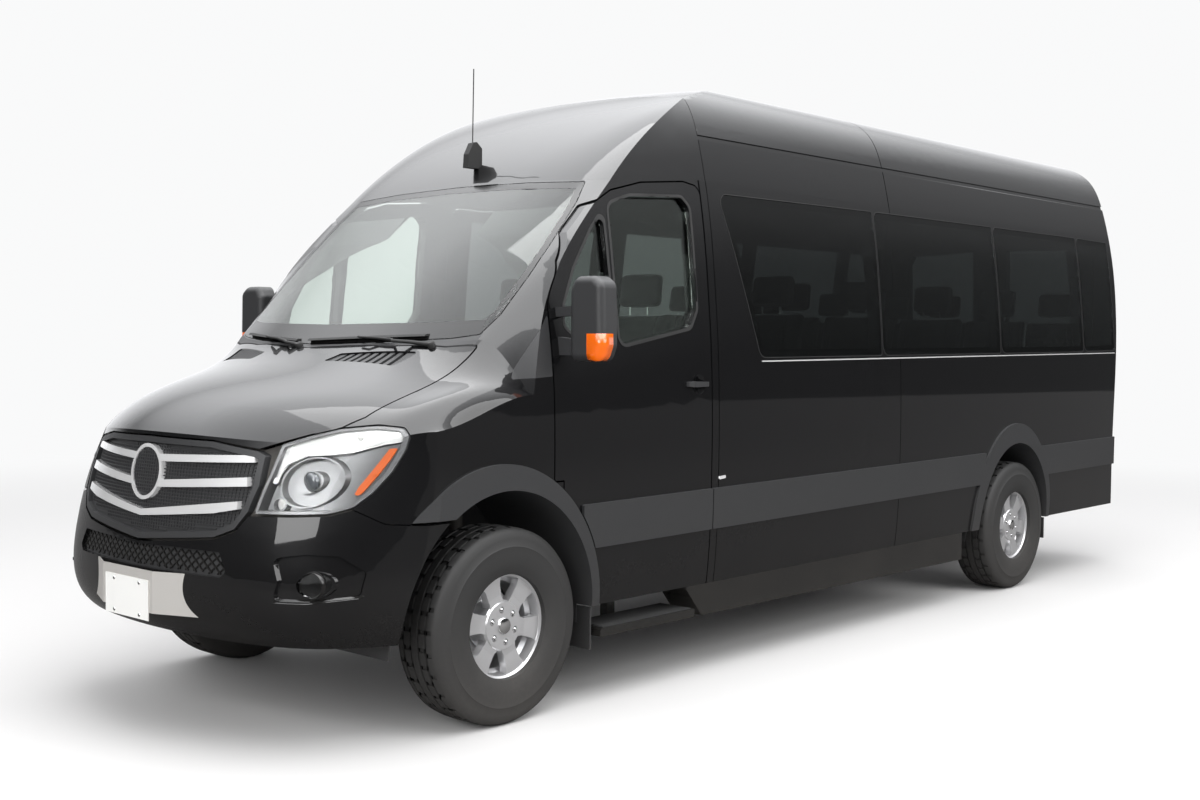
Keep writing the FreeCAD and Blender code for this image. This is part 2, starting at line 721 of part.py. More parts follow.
sliding = side_right.common(slide_region(-GAP / 2))
side_right = side_right.cut(slide_region(GAP / 2))
rail_slot = seam_groove("side", box(300.0, OUT_X, fy(SLIDE_Y1 + 20.0), fy(RAIL_END), RAIL_SLOT_Z,
                                    RAIL_SLOT_Z + RAIL_SLOT_HIGH), GLASS)
side_right = side_right.cut(rail_slot)
sliding = sliding.cut(handle_dish(SLIDE_HANDLE_Y, HANDLE_Z))
body_eyes = rear_body_eyes()
notches = rear_wall_notches()
save("side_wall_left", side_left.cut(notches).fuse(body_eyes))
save("side_wall_right", mirror_x(side_right.cut(notches).fuse(body_eyes)))
save("sliding_door", mirror_x(sliding))
shrink = -2.5
glass = [zone("side", 0.0).common(pane_region(p, shrink)).cut(zone("side", GLASS)) for p in PANES]
slide_glass = zone("side", 0.0).common(pane_region(SLIDE_PANE, shrink)).cut(zone("side", GLASS))
save("side_glass", glass + [mirror_x(g) for g in glass[1:] + [slide_glass]])


# Roof with its front cap
GUTTER_STEP_Z = 2414.0
roof = panel("roof", 0.0, ROOF_SKIN, above_seam(0.0))
roof = roof.cut(rear_door_region(GAP))
step = box(-OUT_X, OUT_X, fy(1300.0), ey(-60.0), GUTTER_STEP_Z, GUTTER_STEP_Z + 24.0)
joint = box(-OUT_X, OUT_X, fy(2905.0) - 3.0, fy(2905.0) + 3.0, GUTTER_Z - 5.0, 2900.0)
roof = roof.cut(zone("roof", 0.0).common([step, joint]).cut(zone("roof", GLASS)))
cap = panel("cap", 0.0, ROOF_SKIN, above_seam(0.0)).cut(screen_region(0.0))
save("roof", [roof, cap])

# Cab frame: pillars and header round the windscreen and the doors
FRAME = 45.0
PILLAR_FOOT = [(-520, 1535), (-45, 1512), (22, 1338), (262, 1349)]


def below_pillar(d):
    pts = [(fy(y), z - d) for y, z in PILLAR_FOOT]
    pts.append((fy(262.0), 1100.0))
    pts.append((fy(DOOR_STEP_Y + 10.0), 1100.0))
    pts.append((fy(DOOR_STEP_Y + 10.0), 300.0))
    pts.append((fy(-1250.0), 300.0))
    pts.append((fy(-1250.0), 1535.0 - d))
    return prism_x(pts, -OUT_X, OUT_X)


COWL_DEPTH = 20.0
COWL_X = 806.0
cab_box = box(-OUT_X, OUT_X, fy(-450.0), fy(SIDE_START - GAP), 1250.0, 2330.0)
frame = panel("cab", 0.0, FRAME, cab_box)
doors_cut = door_region(GAP)
frame = frame.cut([above_seam(0.0).cut(screen_region(0.0)), doors_cut, mirror_x(doors_cut),
                   hood_plan(HOOD_GAP)])
low = below_pillar(0.0).cut(box(-COWL_X, COWL_X, fy(-1300.0), fy(300.0), 200.0, 1600.0))
frame = frame.cut([low, screen_region(-26.0)])
screen_bed = zone("cab", 0.0).common(screen_region(0.0)).cut(zone("cab", GLASS))
cowl_plan = box(-COWL_X, COWL_X, fy(-330.0), fy(60.0), 1300.0, 1560.0)
cowl = zone("cab", 0.0).common(cowl_plan).cut(zone("cab", COWL_DEPTH))
cowl = cowl.cut([hood_plan(HOOD_GAP), screen_region(2.0)])
frame = frame.cut([screen_bed, cowl])
sail_pts = [(34, 1345), (124, 1466), (226, 1606), (226, 1356)]
sail_block = zone("cab", 0.0).common(region_x(outline_fy(sail_pts), 860.0, OUT_X, 6.0))
sail = sail_block.cut(zone("cab", GLASS))
frame = frame.cut([sail, mirror_x(sail)])
save("cab_frame", frame, 50000.0)
save("windscreen", zone("cab", 0.0).common(screen_region(-3.0)).cut(zone("cab", GLASS)))
save("cowl", [cowl, sail, mirror_x(sail)])

# Front fenders
fender_box = box(560.0, OUT_X, fy(-1000.0), fy(DOOR_STEP_Y + 10.0), 700.0, 1560.0)
fender = panel("corner", 0.0, HOOD_SKIN, fender_box)
fender = fender.common(below_pillar(0.0)).cut(box(0.0, COWL_X, fy(-330.0), fy(300.0), 700.0, 1600.0))
fender = fender.cut([hood_plan(HOOD_GAP), hood_region(HOOD_GAP), lamp_region(LAMP_GAP), bumper_region(-5.0),
                     FRONT_FLARE, door_region(GAP), grille_region(5.0)])
save("front_fenders", both(fender), 50000.0)

# Headlamps: clear lens on a housing with two round reflectors
LAMP_DEEP = 62.0
lens = zone("corner", 0.0).common(lamp_region(-2.0)).cut(zone("corner", GLASS))
shell = zone("corner", GLASS).common(lamp_region(-2.0)).cut(zone("corner", LAMP_DEEP))
hollow = zone("corner", GLASS).common(lamp_region(-12.0)).cut(zone("corner", FRAME))


def lamp_tube(x, z, r, wall):
    # Ring along Y about a lamp's axis, or a full round where the wall is nought
    tool = cyl(r, V(x, FAR_FRONT, z), V(x, fy(-400.0), z))
    if wall:
        tool = tool.cut(cyl(r - wall, V(x, FAR_FRONT, z), V(x, fy(-400.0), z)))
    return tool


# Bowl rim, projector and the small low lamp stand on the back of the housing
MAIN_LAMP = (735.0, 985.0)
MAIN_BOWL_R = 90.0
PROJECTOR_R = 38.0
LOW_LAMP = (661.0, 906.0)
LOW_LAMP_R = 26.0
stand = [lamp_tube(*MAIN_LAMP, MAIN_BOWL_R, 6.0), lamp_tube(*MAIN_LAMP, PROJECTOR_R, 0.0),
         lamp_tube(*LOW_LAMP, LOW_LAMP_R, 5.0)]
hollow = hollow.cut(zone("corner", COWL_DEPTH).common(stand))
shell = shell.cut(hollow)

# Bumper with the air intake and the fog lamp recesses
BUMPER_LOW = 392.0
INTAKE = half_outline([(0, 722), (240, 729), (470, 730), (512, 662), (486, 640), (0, 637)])
FOG = [(690, 722), (783, 738), (862, 730), (912, 668), (905, 580), (804, 570), (700, 572), (716, 640)]


def intake_region(grow):
    return region_y(INTAKE, FAR_FRONT, fy(-800.0), 14.0, grow)


def fog_region(grow):
    return region_y(FOG, FAR_FRONT, fy(-480.0), 22.0, grow)


bump_box = box(-OUT_X, OUT_X, FAR_FRONT, fy(-300.0), BUMPER_LOW, 950.0)
bumper = panel("nose", 0.0, BUMPER_SKIN, bump_box)
bumper = bumper.common(bumper_region(0.0))
fog_cut = zone("nose", 0.0).common([fog_region(0.0), mirror_x(fog_region(0.0))]).cut(zone("nose", COWL_DEPTH))
FOG_LAMP = (810.0, 629.0)
FOG_R = 48.0
FOG_RIM = 6.0
fog_rim = lamp_tube(*FOG_LAMP, FOG_R, FOG_RIM)
fog_cut = fog_cut.cut(zone("nose", GLASS).common([fog_rim, mirror_x(fog_rim)]))
fog_lens_tool = lamp_tube(*FOG_LAMP, FOG_R - FOG_RIM - 0.4, 0.0)
fog_lens = panel("nose", GLASS, COWL_DEPTH, fog_lens_tool)
FLARE_FOOT_Z = 834.0
front_ring = FRONT_FLARE.cut(FRONT_ARCH)
front_ring = front_ring.cut(box(-OUT_X, OUT_X, FAR_FRONT, fy(-150.0), 0.0, FLARE_FOOT_Z))
bumper = bumper.cut([FRONT_ARCH, front_ring, intake_region(0.0), fog_cut])
save("front_bumper", bumper)
save("headlamp_lenses", both(lens) + both(fog_lens))

# Carrier behind the grille, lamps and bumper top, which holds them all
CARRIER_LOW = 735.0
CARRIER_HIGH = 1118.0
carrier = panel("nose", BUMPER_SKIN, FRAME, box(-930.0, 930.0, FAR_FRONT, fy(-520.0), CARRIER_LOW,
                                                CARRIER_HIGH))
carrier_lamp = lamp_region(-2.0)
carrier = carrier.cut([carrier_lamp, mirror_x(carrier_lamp), FRONT_FLARE, hood_region(HOOD_GAP)])

# Rubber buffers on the carrier, on which the shut hood rests
BUFFER_X = 450.0
BUFFER_GAP = 0.3
buffer_top = zone("nose", HOOD_SKIN).copy()
buffer_top.translate(V(0, 0, -BUFFER_GAP / math.cos(math.radians(41.0))))
buffer = box(BUFFER_X - 20.0, BUFFER_X + 20.0, fy(-884.0), fy(-838.0), CARRIER_HIGH - 20.0,
             CARRIER_HIGH + 30.0)
buffer = buffer.common(buffer_top)
carrier = fuse([carrier, buffer, mirror_x(buffer)])

# Grille: frame, dark back panel, bright slats and a blank round boss
BOSS_R = 106.0
BOSS_Z = 992.0
grid = panel("nose", 0.0, BUMPER_SKIN, grille_region(-3.0))
well = zone("nose", 0.0).common(grille_region(-24.0)).cut(zone("nose", COWL_DEPTH))
SLATS = [
    [(0, 1062), (80, 1062), (534, 1077), (543, 1051), (92, 1035), (0, 1035)],
    [(0, 966), (90, 966), (530, 998), (540, 966), (112, 940), (0, 940)],
    [(0, 850), (514, 912), (519, 884), (414, 864), (0, 826)],
]
slats = []
for pts in SLATS:
    tool = region_y(pts, FAR_FRONT, fy(-700.0), 0)
    slats.append(fuse([tool, mirror_x(tool)]))
boss_tool = cyl(BOSS_R, V(0, FAR_FRONT, BOSS_Z), V(0, fy(-800.0), BOSS_Z))
ring_tool = boss_tool.cut(cyl(BOSS_R - 14.0, V(0, FAR_FRONT, BOSS_Z), V(0, fy(-800.0), BOSS_Z)))
disc_tool = cyl(BOSS_R - 14.0, V(0, FAR_FRONT, BOSS_Z), V(0, fy(-800.0), BOSS_Z))
bright = well.common(slats).cut(boss_tool)
ring = well.common(ring_tool)
disc = well.common(disc_tool).cut(zone("nose", 0.0).cut(zone("nose", GLASS)))
grid = grid.cut(well).fuse(disc)
mesh_low = panel("nose", COWL_DEPTH, BUMPER_SKIN, intake_region(0.0))
save("grille", [grid, mesh_low])
save("grille_slats", bright.Solids + [ring])

# Arch flares
FLARE_DEEP = WALL
flare_box = box(700.0, OUT_X, fy(-1000.0), fy(600.0), SILL_Z, 1100.0)
ring_front = front_ring.common(flare_box)
flare_front = envelope(-FLARE_OUT, True).common(ring_front).cut(envelope(FLARE_DEEP, True))
ring_rear = REAR_FLARE.cut(REAR_ARCH).common(box(700.0, OUT_X, ry(-700.0), ry(700.0), SILL_Z, 1100.0))
flare_rear = envelope(-FLARE_OUT, False).common(ring_rear).cut(envelope(WALL, False))
save("arch_flares", both(flare_front) + both(flare_rear))

# Side mouldings: raised strips on the doors and the walls
MOULD_OUT = FLARE_OUT
STRIP_IN = 900.0
MOULD_LOW = 648.0
MOULD_HIGH = 832.0
MOULD_RISE = 24.0 / 3550.0


def mould_region(y0, y1):
    pts = []
    for y, z in ((y0, MOULD_LOW), (y1, MOULD_LOW), (y1, MOULD_HIGH), (y0, MOULD_HIGH)):
        pts.append((fy(y), z + (y - 400.0) * MOULD_RISE))
    return region_x(pts, STRIP_IN, OUT_X, 6.0)


side_strips = [mould_region(SIDE_START, 3870.0), mould_region(4560.0, 5860.0)]
strip = envelope(-MOULD_OUT, False).common(side_strips).cut(envelope(0.0, False))
strip = strip.cut([REAR_FLARE])
door_strip = envelope(-MOULD_OUT, True).common(mould_region(395.0, DOOR_REAR_Y)).cut(envelope(0.0, True))
door_strip = door_strip.cut([FRONT_FLARE_GAP])
slide_handle = mirror_x(door_handle(SLIDE_HANDLE_Y, HANDLE_Z, envelope(0.0, False)))
save("side_mouldings", both(strip) + [slide_handle])

# Hood with two louvred vents
VENT = [(250, -345), (262, -262), (610, -150), (580, -262)]
hood = panel("nose", 0.0, HOOD_SKIN, hood_region(0.0))
vent_tool = region_z([(x, fy(y)) for x, y in VENT], 1300.0, 1600.0, 12.0)
hood = hood.cut([vent_tool, mirror_x(vent_tool), lamp_region(LAMP_GAP), mirror_x(lamp_region(LAMP_GAP))])
vent = zone("nose", GLASS).common(vent_tool).cut(zone("nose", HOOD_SKIN))
louvres = []
for i in range(8):
    x = 290.0 + i * 36.0
    louvres.append(box(x, x + 17.0, fy(-360.0), fy(-130.0), 1300.0, 1600.0))
vent = vent.cut(zone("nose", GLASS).common(louvres).cut(zone("nose", COWL_DEPTH)))
save("hood", hood)
save("hood_vents", both(vent))

# Cab doors
DOOR_GLASS_IN = COWL_DEPTH
DOOR_GLASS_OUT = HOOD_SKIN
door = panel("door", 0.0, DOOR_THICK, door_region(0.0))
windows = [region_x(outline_fy(DOOR_WINDOW), 300.0, OUT_X, DOOR_WINDOW_R),
           region_x(outline_fy(QUARTER), 300.0, OUT_X, QUARTER_R)]
door = door.cut(windows + [FRONT_FLARE_GAP, handle_dish(HANDLE_Y, HANDLE_Z)] + hinge_notches())
handle = door_handle(HANDLE_Y, HANDLE_Z, envelope(0.0, True))
door_glass = zone("door", DOOR_GLASS_IN).common(windows).cut(zone("door", DOOR_GLASS_OUT))
save("door_left", door)
save("door_right", mirror_x(door))
save("door_left_glass", door_glass.Solids)
save("door_right_glass", [mirror_x(g) for g in door_glass.Solids])

# Rear doors
REAR_WINDOW = [(96, 1440), (690, 1440), (690, 2090), (640, 2180), (96, 2200)]
REAR_WINDOW_R = [40, 40, 60, 60, 40]
half_rear = region_y([(4.0, 300.0), (OUT_X, 300.0), (OUT_X, 3000.0), (4.0, 3000.0)], ey(-260.0), ey(120.0))
rear_door = panel("rear", 0.0, WALL, rear_door_region(0.0).common(half_rear))
rear_hole = region_y(REAR_WINDOW, ey(-260.0), ey(120.0), REAR_WINDOW_R, -PANE_LAND)
rear_pane = zone("rear", 0.0).common(region_y(REAR_WINDOW, ey(-260.0), ey(120.0),
                                              REAR_WINDOW_R)).cut(zone("rear", GLASS))
rear_glass = zone("rear", 0.0).common(region_y(REAR_WINDOW, ey(-260.0), ey(120.0), REAR_WINDOW_R,
                                               -2.5)).cut(zone("rear", GLASS))
rear_door = rear_door.cut([rear_hole, rear_pane]).fuse(rear_door_eyes())
save("rear_door_left", rear_door)
save("rear_door_right", mirror_x(rear_door))
save("rear_glass_left", rear_glass)
save("rear_glass_right", mirror_x(rear_glass))
save("headlamps", both(shell))


# Floor of the cabin and cab
FLOOR_END = ey(-150.0)
FLOOR_LOW = FLOOR_Z - FLOOR_THICK
HOUSING = 6.0
inner_back = envelope(WALL, False)
slab = box(-1000.0, 1000.0, fy(SIDE_START), FLOOR_END, FLOOR_LOW, FLOOR_Z).common(inner_back)
CAB_FLOOR_X = 884.0
FIREWALL_Y = 250.0
FIREWALL_THICK = 18.0
slab = slab.fuse(box(-CAB_FLOOR_X, CAB_FLOOR_X, fy(FIREWALL_Y), fy(SIDE_START), FLOOR_LOW, FLOOR_Z))
front_wells = arch(-OUT_X, OUT_X, fy(ARCH_SHIFT), ARCH_HALF + HOUSING, ARCH_RISE + HOUSING)
FRONT_WELL_IN = 462.0
well_keep = box(-FRONT_WELL_IN + HOUSING, FRONT_WELL_IN - HOUSING, fy(-900.0), fy(900.0), 0.0, 1300.0)
front_wells = front_wells.cut(well_keep)
REAR_WELL_IN = 640.0
rear_wells = arch(-OUT_X, OUT_X, REAR_ARCH_Y, REAR_ARCH_HALF + HOUSING, REAR_ARCH_RISE + HOUSING)
rear_keep = box(-REAR_WELL_IN + HOUSING, REAR_WELL_IN - HOUSING, ry(-900.0), ry(900.0), 0.0, 1300.0)
rear_wells = rear_wells.cut(rear_keep)
STEP_Z = 452.0
STEP_IN = 655.0
step_hole = box(-1000.0, -STEP_IN, fy(1480.0), fy(2500.0), FLOOR_LOW - 5.0, FLOOR_Z + 5.0)
floor = slab.cut([front_wells, rear_wells, step_hole])
# Entry step in the sliding door's well
tread = box(-1000.0, -STEP_IN, fy(1480.0), fy(2500.0), STEP_Z - 12.0, STEP_Z)
riser = box(-STEP_IN, -STEP_IN + 12.0, fy(1480.0), fy(2500.0), STEP_Z - 12.0, FLOOR_LOW + 4.0)
ends = [box(-1000.0, -STEP_IN, fy(1480.0), fy(1490.0), STEP_Z, FLOOR_Z),
        box(-1000.0, -STEP_IN, fy(2490.0), fy(2500.0), STEP_Z, FLOOR_Z)]
steps = fuse([tread, riser] + ends).common(inner_back)
floor = fuse([floor, steps])
firewall = box(-870.0, 870.0, fy(FIREWALL_Y), fy(FIREWALL_Y + FIREWALL_THICK), FLOOR_Z, 1402.0)
post = box(870.0, POST_X, fy(HINGE_Y) - 9.0, fy(FIREWALL_Y + FIREWALL_THICK), FLOOR_Z, 1402.0)
hinge_side = fuse([post] + hinge_arms())
firewall = firewall.fuse([hinge_side, mirror_x(hinge_side)]).removeSplitter().cut(front_wells)
save("floor_pan", [floor, firewall])

# Wheel housings
def housing(yc, half, rise, x_in, skin_depth, front):
    outer = arch(x_in - HOUSING, OUT_X, yc, half + HOUSING, rise + HOUSING, TYRE_RADIUS - 60.0)
    inner = arch(x_in, OUT_X, yc, half, rise, 0.0)
    return outer.cut(inner).common(envelope(skin_depth, front))


front_house = housing(fy(ARCH_SHIFT), ARCH_HALF, ARCH_RISE, FRONT_WELL_IN, WALL, True)
front_house = front_house.cut(box(CAB_FLOOR_X, OUT_X, fy(ARCH_SHIFT), fy(900.0), 0.0, SILL_Z))
front_house = front_house.cut(box(300.0, 560.0, fy(-260.0), fy(260.0), 0.0, 610.0))
rear_house = housing(REAR_ARCH_Y, REAR_ARCH_HALF, REAR_ARCH_RISE, REAR_WELL_IN, WALL, False)
rear_house = rear_house.cut(box(300.0, 700.0, ry(-300.0), ry(300.0), 0.0, 470.0))

# Chassis rails and crossmembers under the floor
RAIL_X = 395.0
RAIL_W = 62.0
RAIL_LOW = 500.0
rail = box(RAIL_X - RAIL_W / 2, RAIL_X + RAIL_W / 2, fy(-780.0), FLOOR_END, RAIL_LOW, FLOOR_LOW)
chassis = [rail, mirror_x(rail)]
RAIL_IN = RAIL_X - RAIL_W / 2
for y in (fy(-700.0), fy(760.0), fy(1700.0), fy(2900.0), ry(-620.0), ry(700.0), FLOOR_END - 60.0):
    chassis.append(box(-RAIL_IN, RAIL_IN, y, y + 60.0, RAIL_LOW + 20.0, FLOOR_LOW))
OUTRIGGER_X = 880.0
for y in (fy(760.0), fy(1700.0), fy(2900.0)):
    arm = box(RAIL_X + RAIL_W / 2, OUTRIGGER_X, y, y + 50.0, RAIL_LOW + 50.0, FLOOR_LOW)
    chassis.append(arm)
    if y != fy(1700.0):
        chassis.append(mirror_x(arm))
RADIATOR_X = 380.0
radiator = box(-RADIATOR_X, RADIATOR_X, fy(-800.0), fy(-740.0), 470.0, 1010.0)
radiator = radiator.cut(box(-RAIL_X - 60.0, RAIL_X + 60.0, fy(-780.0), fy(-730.0), RAIL_LOW - 2.0,
                            FLOOR_LOW + 2.0))
SHAFT_R = 38.0
SHAFT_FRONT = V(0, fy(704.0), 520.0)
SHAFT_REAR = V(0, ry(-120.0), TYRE_RADIUS + 10.0)
shaft_way = cyl(SHAFT_R + 10.0, SHAFT_FRONT, SHAFT_REAR)
JACK_X = 640.0
JACK_R = 30.0
JACK_LOW = 520.0
JACK_IN = 25.0
for y in (fy(760.0), fy(2900.0)):
    pad = cyl(JACK_R, V(JACK_X, y + JACK_IN, JACK_LOW), V(JACK_X, y + JACK_IN, RAIL_LOW + 52.0))
    chassis += both(pad)
frame_solid = fuse(chassis).cut(shaft_way)
save("chassis_frame", [frame_solid, carrier], 50000.0)

# Engine as one plain block with the radiator in front
ENGINE_Z = 430.0
engine = box(-250.0, 250.0, fy(-620.0), fy(150.0), ENGINE_Z, 1010.0)
gearbox = cyl(120.0, V(0, fy(150.0), 560.0), V(0, fy(700.0), 520.0))
gearbox = gearbox.cut(box(-500.0, 500.0, fy(0.0), fy(900.0), RAIL_LOW + 90.0, 900.0))
engine_foot = box(250.0, RAIL_IN, fy(-220.0), fy(-140.0), RAIL_LOW + 30.0, RAIL_LOW + 80.0)
engine = fuse([engine, engine_foot, mirror_x(engine_foot)])
save("engine_block", [engine, gearbox.cut(engine), radiator])

# Front suspension: crossmember, lower arms, struts and steering rack
HUB = TYRE_RADIUS
KINGPIN_X = 770.0
CROSS_Z = 300.0
cross = box(-380.0, 380.0, fy(-110.0), fy(110.0), CROSS_Z, CROSS_Z + 90.0)
mount_l = box(RAIL_IN, 380.0, fy(-60.0), fy(60.0), CROSS_Z + 90.0, RAIL_LOW)
ARM_END_X = KINGPIN_X + 24.0
arm_l = prism_z([(330.0, fy(-120.0)), (330.0, fy(160.0)), (ARM_END_X, fy(34.0)), (ARM_END_X, fy(-34.0))],
                CROSS_Z - 30.0, CROSS_Z, [20, 20, 26, 26])
STRUT_X = 662.0
STRUT_R = 26.0
strut = cyl(STRUT_R, V(STRUT_X, FRONT_AXLE_Y, CROSS_Z), V(STRUT_X, FRONT_AXLE_Y, HUB + ARCH_RISE + 4.0))
BALL_R = 9.0
ball = cyl(BALL_R, V(KINGPIN_X, FRONT_AXLE_Y, CROSS_Z), V(KINGPIN_X, FRONT_AXLE_Y, CROSS_Z + 22.0))
rack = cyl(26.0, V(-330.0, fy(150.0), CROSS_Z + 60.0), V(330.0, fy(150.0), CROSS_Z + 60.0))
rack_foot = box(-120.0, 120.0, fy(110.0), fy(150.0), CROSS_Z + 20.0, CROSS_Z + 62.0)
half_sub = fuse([mount_l, arm_l, strut, ball]).cut(front_house)
sub = fuse([cross, half_sub, mirror_x(half_sub), rack, rack_foot])
save("front_subframe", sub)

# Steering knuckles: hub carrier, arms to the ball joints, caliper
DISC_R = 140.0
FIT = 0.05
SPINDLE_R = 33.95
DISC_THICK = 24.0
HUB_FACE_X = 842.0
DISC_X = 806.0


SPINDLE_END = 918.0


def caliper(y, side):
    # Shoe over the disc, in front of the hub or behind it
    near = min(y + side * 92.0, y + side * 160.0)
    far = max(y + side * 92.0, y + side * 160.0)
    shoe = prism_x([(near, HUB - 36.0), (far, HUB - 36.0), (far, HUB + 36.0), (near, HUB + 36.0)],
                   DISC_X - 38.0, DISC_X + DISC_THICK + 8.0, 14.0)
    return shoe.cut(cyl(DISC_R + 7.0, V(DISC_X - 6.0, y, HUB), V(DISC_X + DISC_THICK + 20.0, y, HUB)))


def knuckle():
    foot = V(KINGPIN_X, FRONT_AXLE_Y, CROSS_Z + 4.0)
    post = cyl(24.0, foot, V(KINGPIN_X, FRONT_AXLE_Y, HUB + 96.0))
    hub = cyl(58.0, V(KINGPIN_X - 40.0, FRONT_AXLE_Y, HUB), V(DISC_X - 6.0, FRONT_AXLE_Y, HUB))
    spindle = cyl(SPINDLE_R, V(DISC_X - 6.0, FRONT_AXLE_Y, HUB), V(SPINDLE_END, FRONT_AXLE_Y, HUB))
    arm = box(KINGPIN_X - 40.0, KINGPIN_X - 10.0, fy(0.0), fy(130.0), HUB - 60.0, HUB - 36.0)
    shoe = caliper(FRONT_AXLE_Y, -1.0)
    bracket = box(DISC_X - 38.0, DISC_X - 14.0, fy(-110.0), fy(0.0), HUB - 20.0, HUB + 20.0)
    seat = cyl(BALL_R + FIT, foot, foot + V(0, 0, 20.0))
    return fuse([post, hub, arm, bracket, shoe, spindle]).cut(seat)


left_knuckle = knuckle()
save("knuckle_left", left_knuckle)
save("knuckle_right", mirror_x(left_knuckle))

# Rear axle on leaf springs with the drive shaft
AXLE_R = 46.0
LEAF_X = 520.0
axle = cyl(AXLE_R, V(-700.0, REAR_AXLE_Y, HUB), V(700.0, REAR_AXLE_Y, HUB))
diff = Part.makeSphere(135.0)
diff.rotate(V(0, 0, 0), V(0, 1, 0), 90.0)
diff.translate(V(0, REAR_AXLE_Y, HUB))
ends_x = cyl(62.0, V(700.0, REAR_AXLE_Y, HUB), V(DISC_X - 6.0, REAR_AXLE_Y, HUB))
LEAF_LOW = HUB + AXLE_R
leaf_pts = [(ry(-700.0), LEAF_LOW + 40.0), (ry(-350.0), LEAF_LOW + 14.0), (ry(0.0), LEAF_LOW),
            (ry(350.0), LEAF_LOW + 14.0),
            (ry(700.0), LEAF_LOW + 40.0)]
leaf = spline_prism_x(leaf_pts, LEAF_X - 35.0, LEAF_X + 35.0,
                      [(ry(700.0), LEAF_LOW + 64.0), (ry(-700.0), LEAF_LOW + 64.0)])
under = spline_prism_x([(y, z + 22.0) for y, z in leaf_pts], LEAF_X - 40.0, LEAF_X + 40.0,
                       [(ry(700.0), LEAF_LOW + 300.0), (ry(-700.0), LEAF_LOW + 300.0)])
leaf = leaf.cut(under)
hang = []
for y in (ry(-700.0), ry(660.0)):
    hang.append(box(RAIL_X + RAIL_W / 2, LEAF_X + 35.0, y, y + 40.0, LEAF_LOW + 40.0, LEAF_LOW + 130.0))
seat_pad = box(LEAF_X - 45.0, LEAF_X + 45.0, ry(-60.0), ry(60.0), HUB, LEAF_LOW + 6.0)
rear_cal = caliper(REAR_AXLE_Y, 1.0)
rear_spindle = cyl(SPINDLE_R, V(DISC_X - 6.0, REAR_AXLE_Y, HUB), V(SPINDLE_END, REAR_AXLE_Y, HUB))
rear_br = box(DISC_X - 38.0, DISC_X - 14.0, ry(0.0), ry(110.0), HUB - 20.0, HUB + 20.0)
side_gear = fuse([ends_x, leaf, seat_pad, rear_br, rear_cal, rear_spindle] + hang)
rear_gear = fuse([axle, diff, side_gear, mirror_x(side_gear)])
shaft = cyl(SHAFT_R, SHAFT_FRONT, SHAFT_REAR).cut(diff)
save("rear_axle", [rear_gear, shaft])

# Wheels: six-spoke rims with a brake disc behind, and tyres
RIM_HALF = 96.0
RIM_WALL = 8.0
SPOKES = 6
SPOKE_FACE = 80.0
HUB_FRONT = SPOKE_FACE + 2.5
BOLT_RING = 65.0
BOLT_R = 8.0


def revolve_x(pts, centre):
    # Profile of (x, radius) turned about the wheel's axis
    ps = [V(x, 0, r) for x, r in pts]
    ps.append(ps[0])
    face = Part.Face(Part.makePolygon(ps))
    solid = face.revolve(V(0, 0, 0), V(1, 0, 0), 360.0)
    solid.translate(centre)
    return solid


def rim_shape():
    h = RIM_HALF
    w = RIM_WALL
    outer = [(-h, RIM_FLANGE), (-h + 10, RIM_FLANGE), (-h + 14, RIM_RADIUS), (-40, RIM_RADIUS),
             (-24, RIM_RADIUS - 22), (30, RIM_RADIUS - 22), (46, RIM_RADIUS), (h - 14, RIM_RADIUS),
             (h - 10, RIM_FLANGE), (h, RIM_FLANGE)]
    inner = [(h, RIM_FLANGE - w), (h - 12, RIM_RADIUS - w), (40, RIM_RADIUS - w - 6),
             (26, RIM_RADIUS - 22 - w),
             (-28, RIM_RADIUS - 22 - w), (-42, RIM_RADIUS - w), (-h, RIM_RADIUS - w)]
    barrel = revolve_x(outer + inner, V(0, 0, 0))
    hub_back = V(HUB_FACE_X - WHEEL_X, 0, 0)
    hub = cyl(100.0, hub_back, V(HUB_FRONT - 10, 0, 0))
    hub = hub.fuse(Part.makeCone(100.0, 92.0, 10.0, V(HUB_FRONT - 10, 0, 0), V(1, 0, 0)))
    hub = hub.cut(cyl(SPINDLE_R + FIT, hub_back - V(5, 0, 0), V(SPOKE_FACE - 14, 0, 0)))
    blades = []
    for i in range(SPOKES):
        side = [(SPOKE_FACE, 60), (SPOKE_FACE - 4, 120), (SPOKE_FACE + 2, RIM_RADIUS - 4),
                (SPOKE_FACE - 34, RIM_RADIUS - 4),
                (SPOKE_FACE - 40, 120), (SPOKE_FACE - 60, 60)]
        pts = [V(x, -60, z) for x, z in side]
        pts.append(pts[0])
        blade = Part.Face(Part.makePolygon(pts)).extrude(V(0, 120, 0))
        plan = [(-46, 50), (46, 50), (34, 110), (40, 160), (58, RIM_RADIUS + 3), (-58, RIM_RADIUS + 3),
                (-40, 160), (-34, 110)]
        mask = Part.Face(corner_wire([V(-60, a, b) for a, b in plan],
                                     [0, 0, 30, 60, 0, 0, 60, 30])).extrude(V(200, 0, 0))
        blade = blade.common(mask)
        blade.rotate(V(0, 0, 0), V(1, 0, 0), 360.0 / SPOKES * i + 20.0)
        blades.append(blade)
    rim = barrel.fuse(blades).fuse(hub).removeSplitter()
    holes = []
    for i in range(6):
        a = math.radians(60.0 * i + 50.0)
        p = V(0, BOLT_RING * math.sin(a), BOLT_RING * math.cos(a))
        holes.append(cyl(BOLT_R + 5.0, p + V(SPOKE_FACE - 22.0, 0, 0), p + V(SPOKE_FACE + 30.0, 0, 0)))
    rim = rim.cut(holes)
    return rim


def brake_disc():
    d = DISC_X - WHEEL_X
    return revolve_x([(d, 70), (d, DISC_R), (d + DISC_THICK, DISC_R), (d + DISC_THICK, 92),
                      (HUB_FACE_X - WHEEL_X, 92),
                      (HUB_FACE_X - WHEEL_X, 70)], V(0, 0, 0))


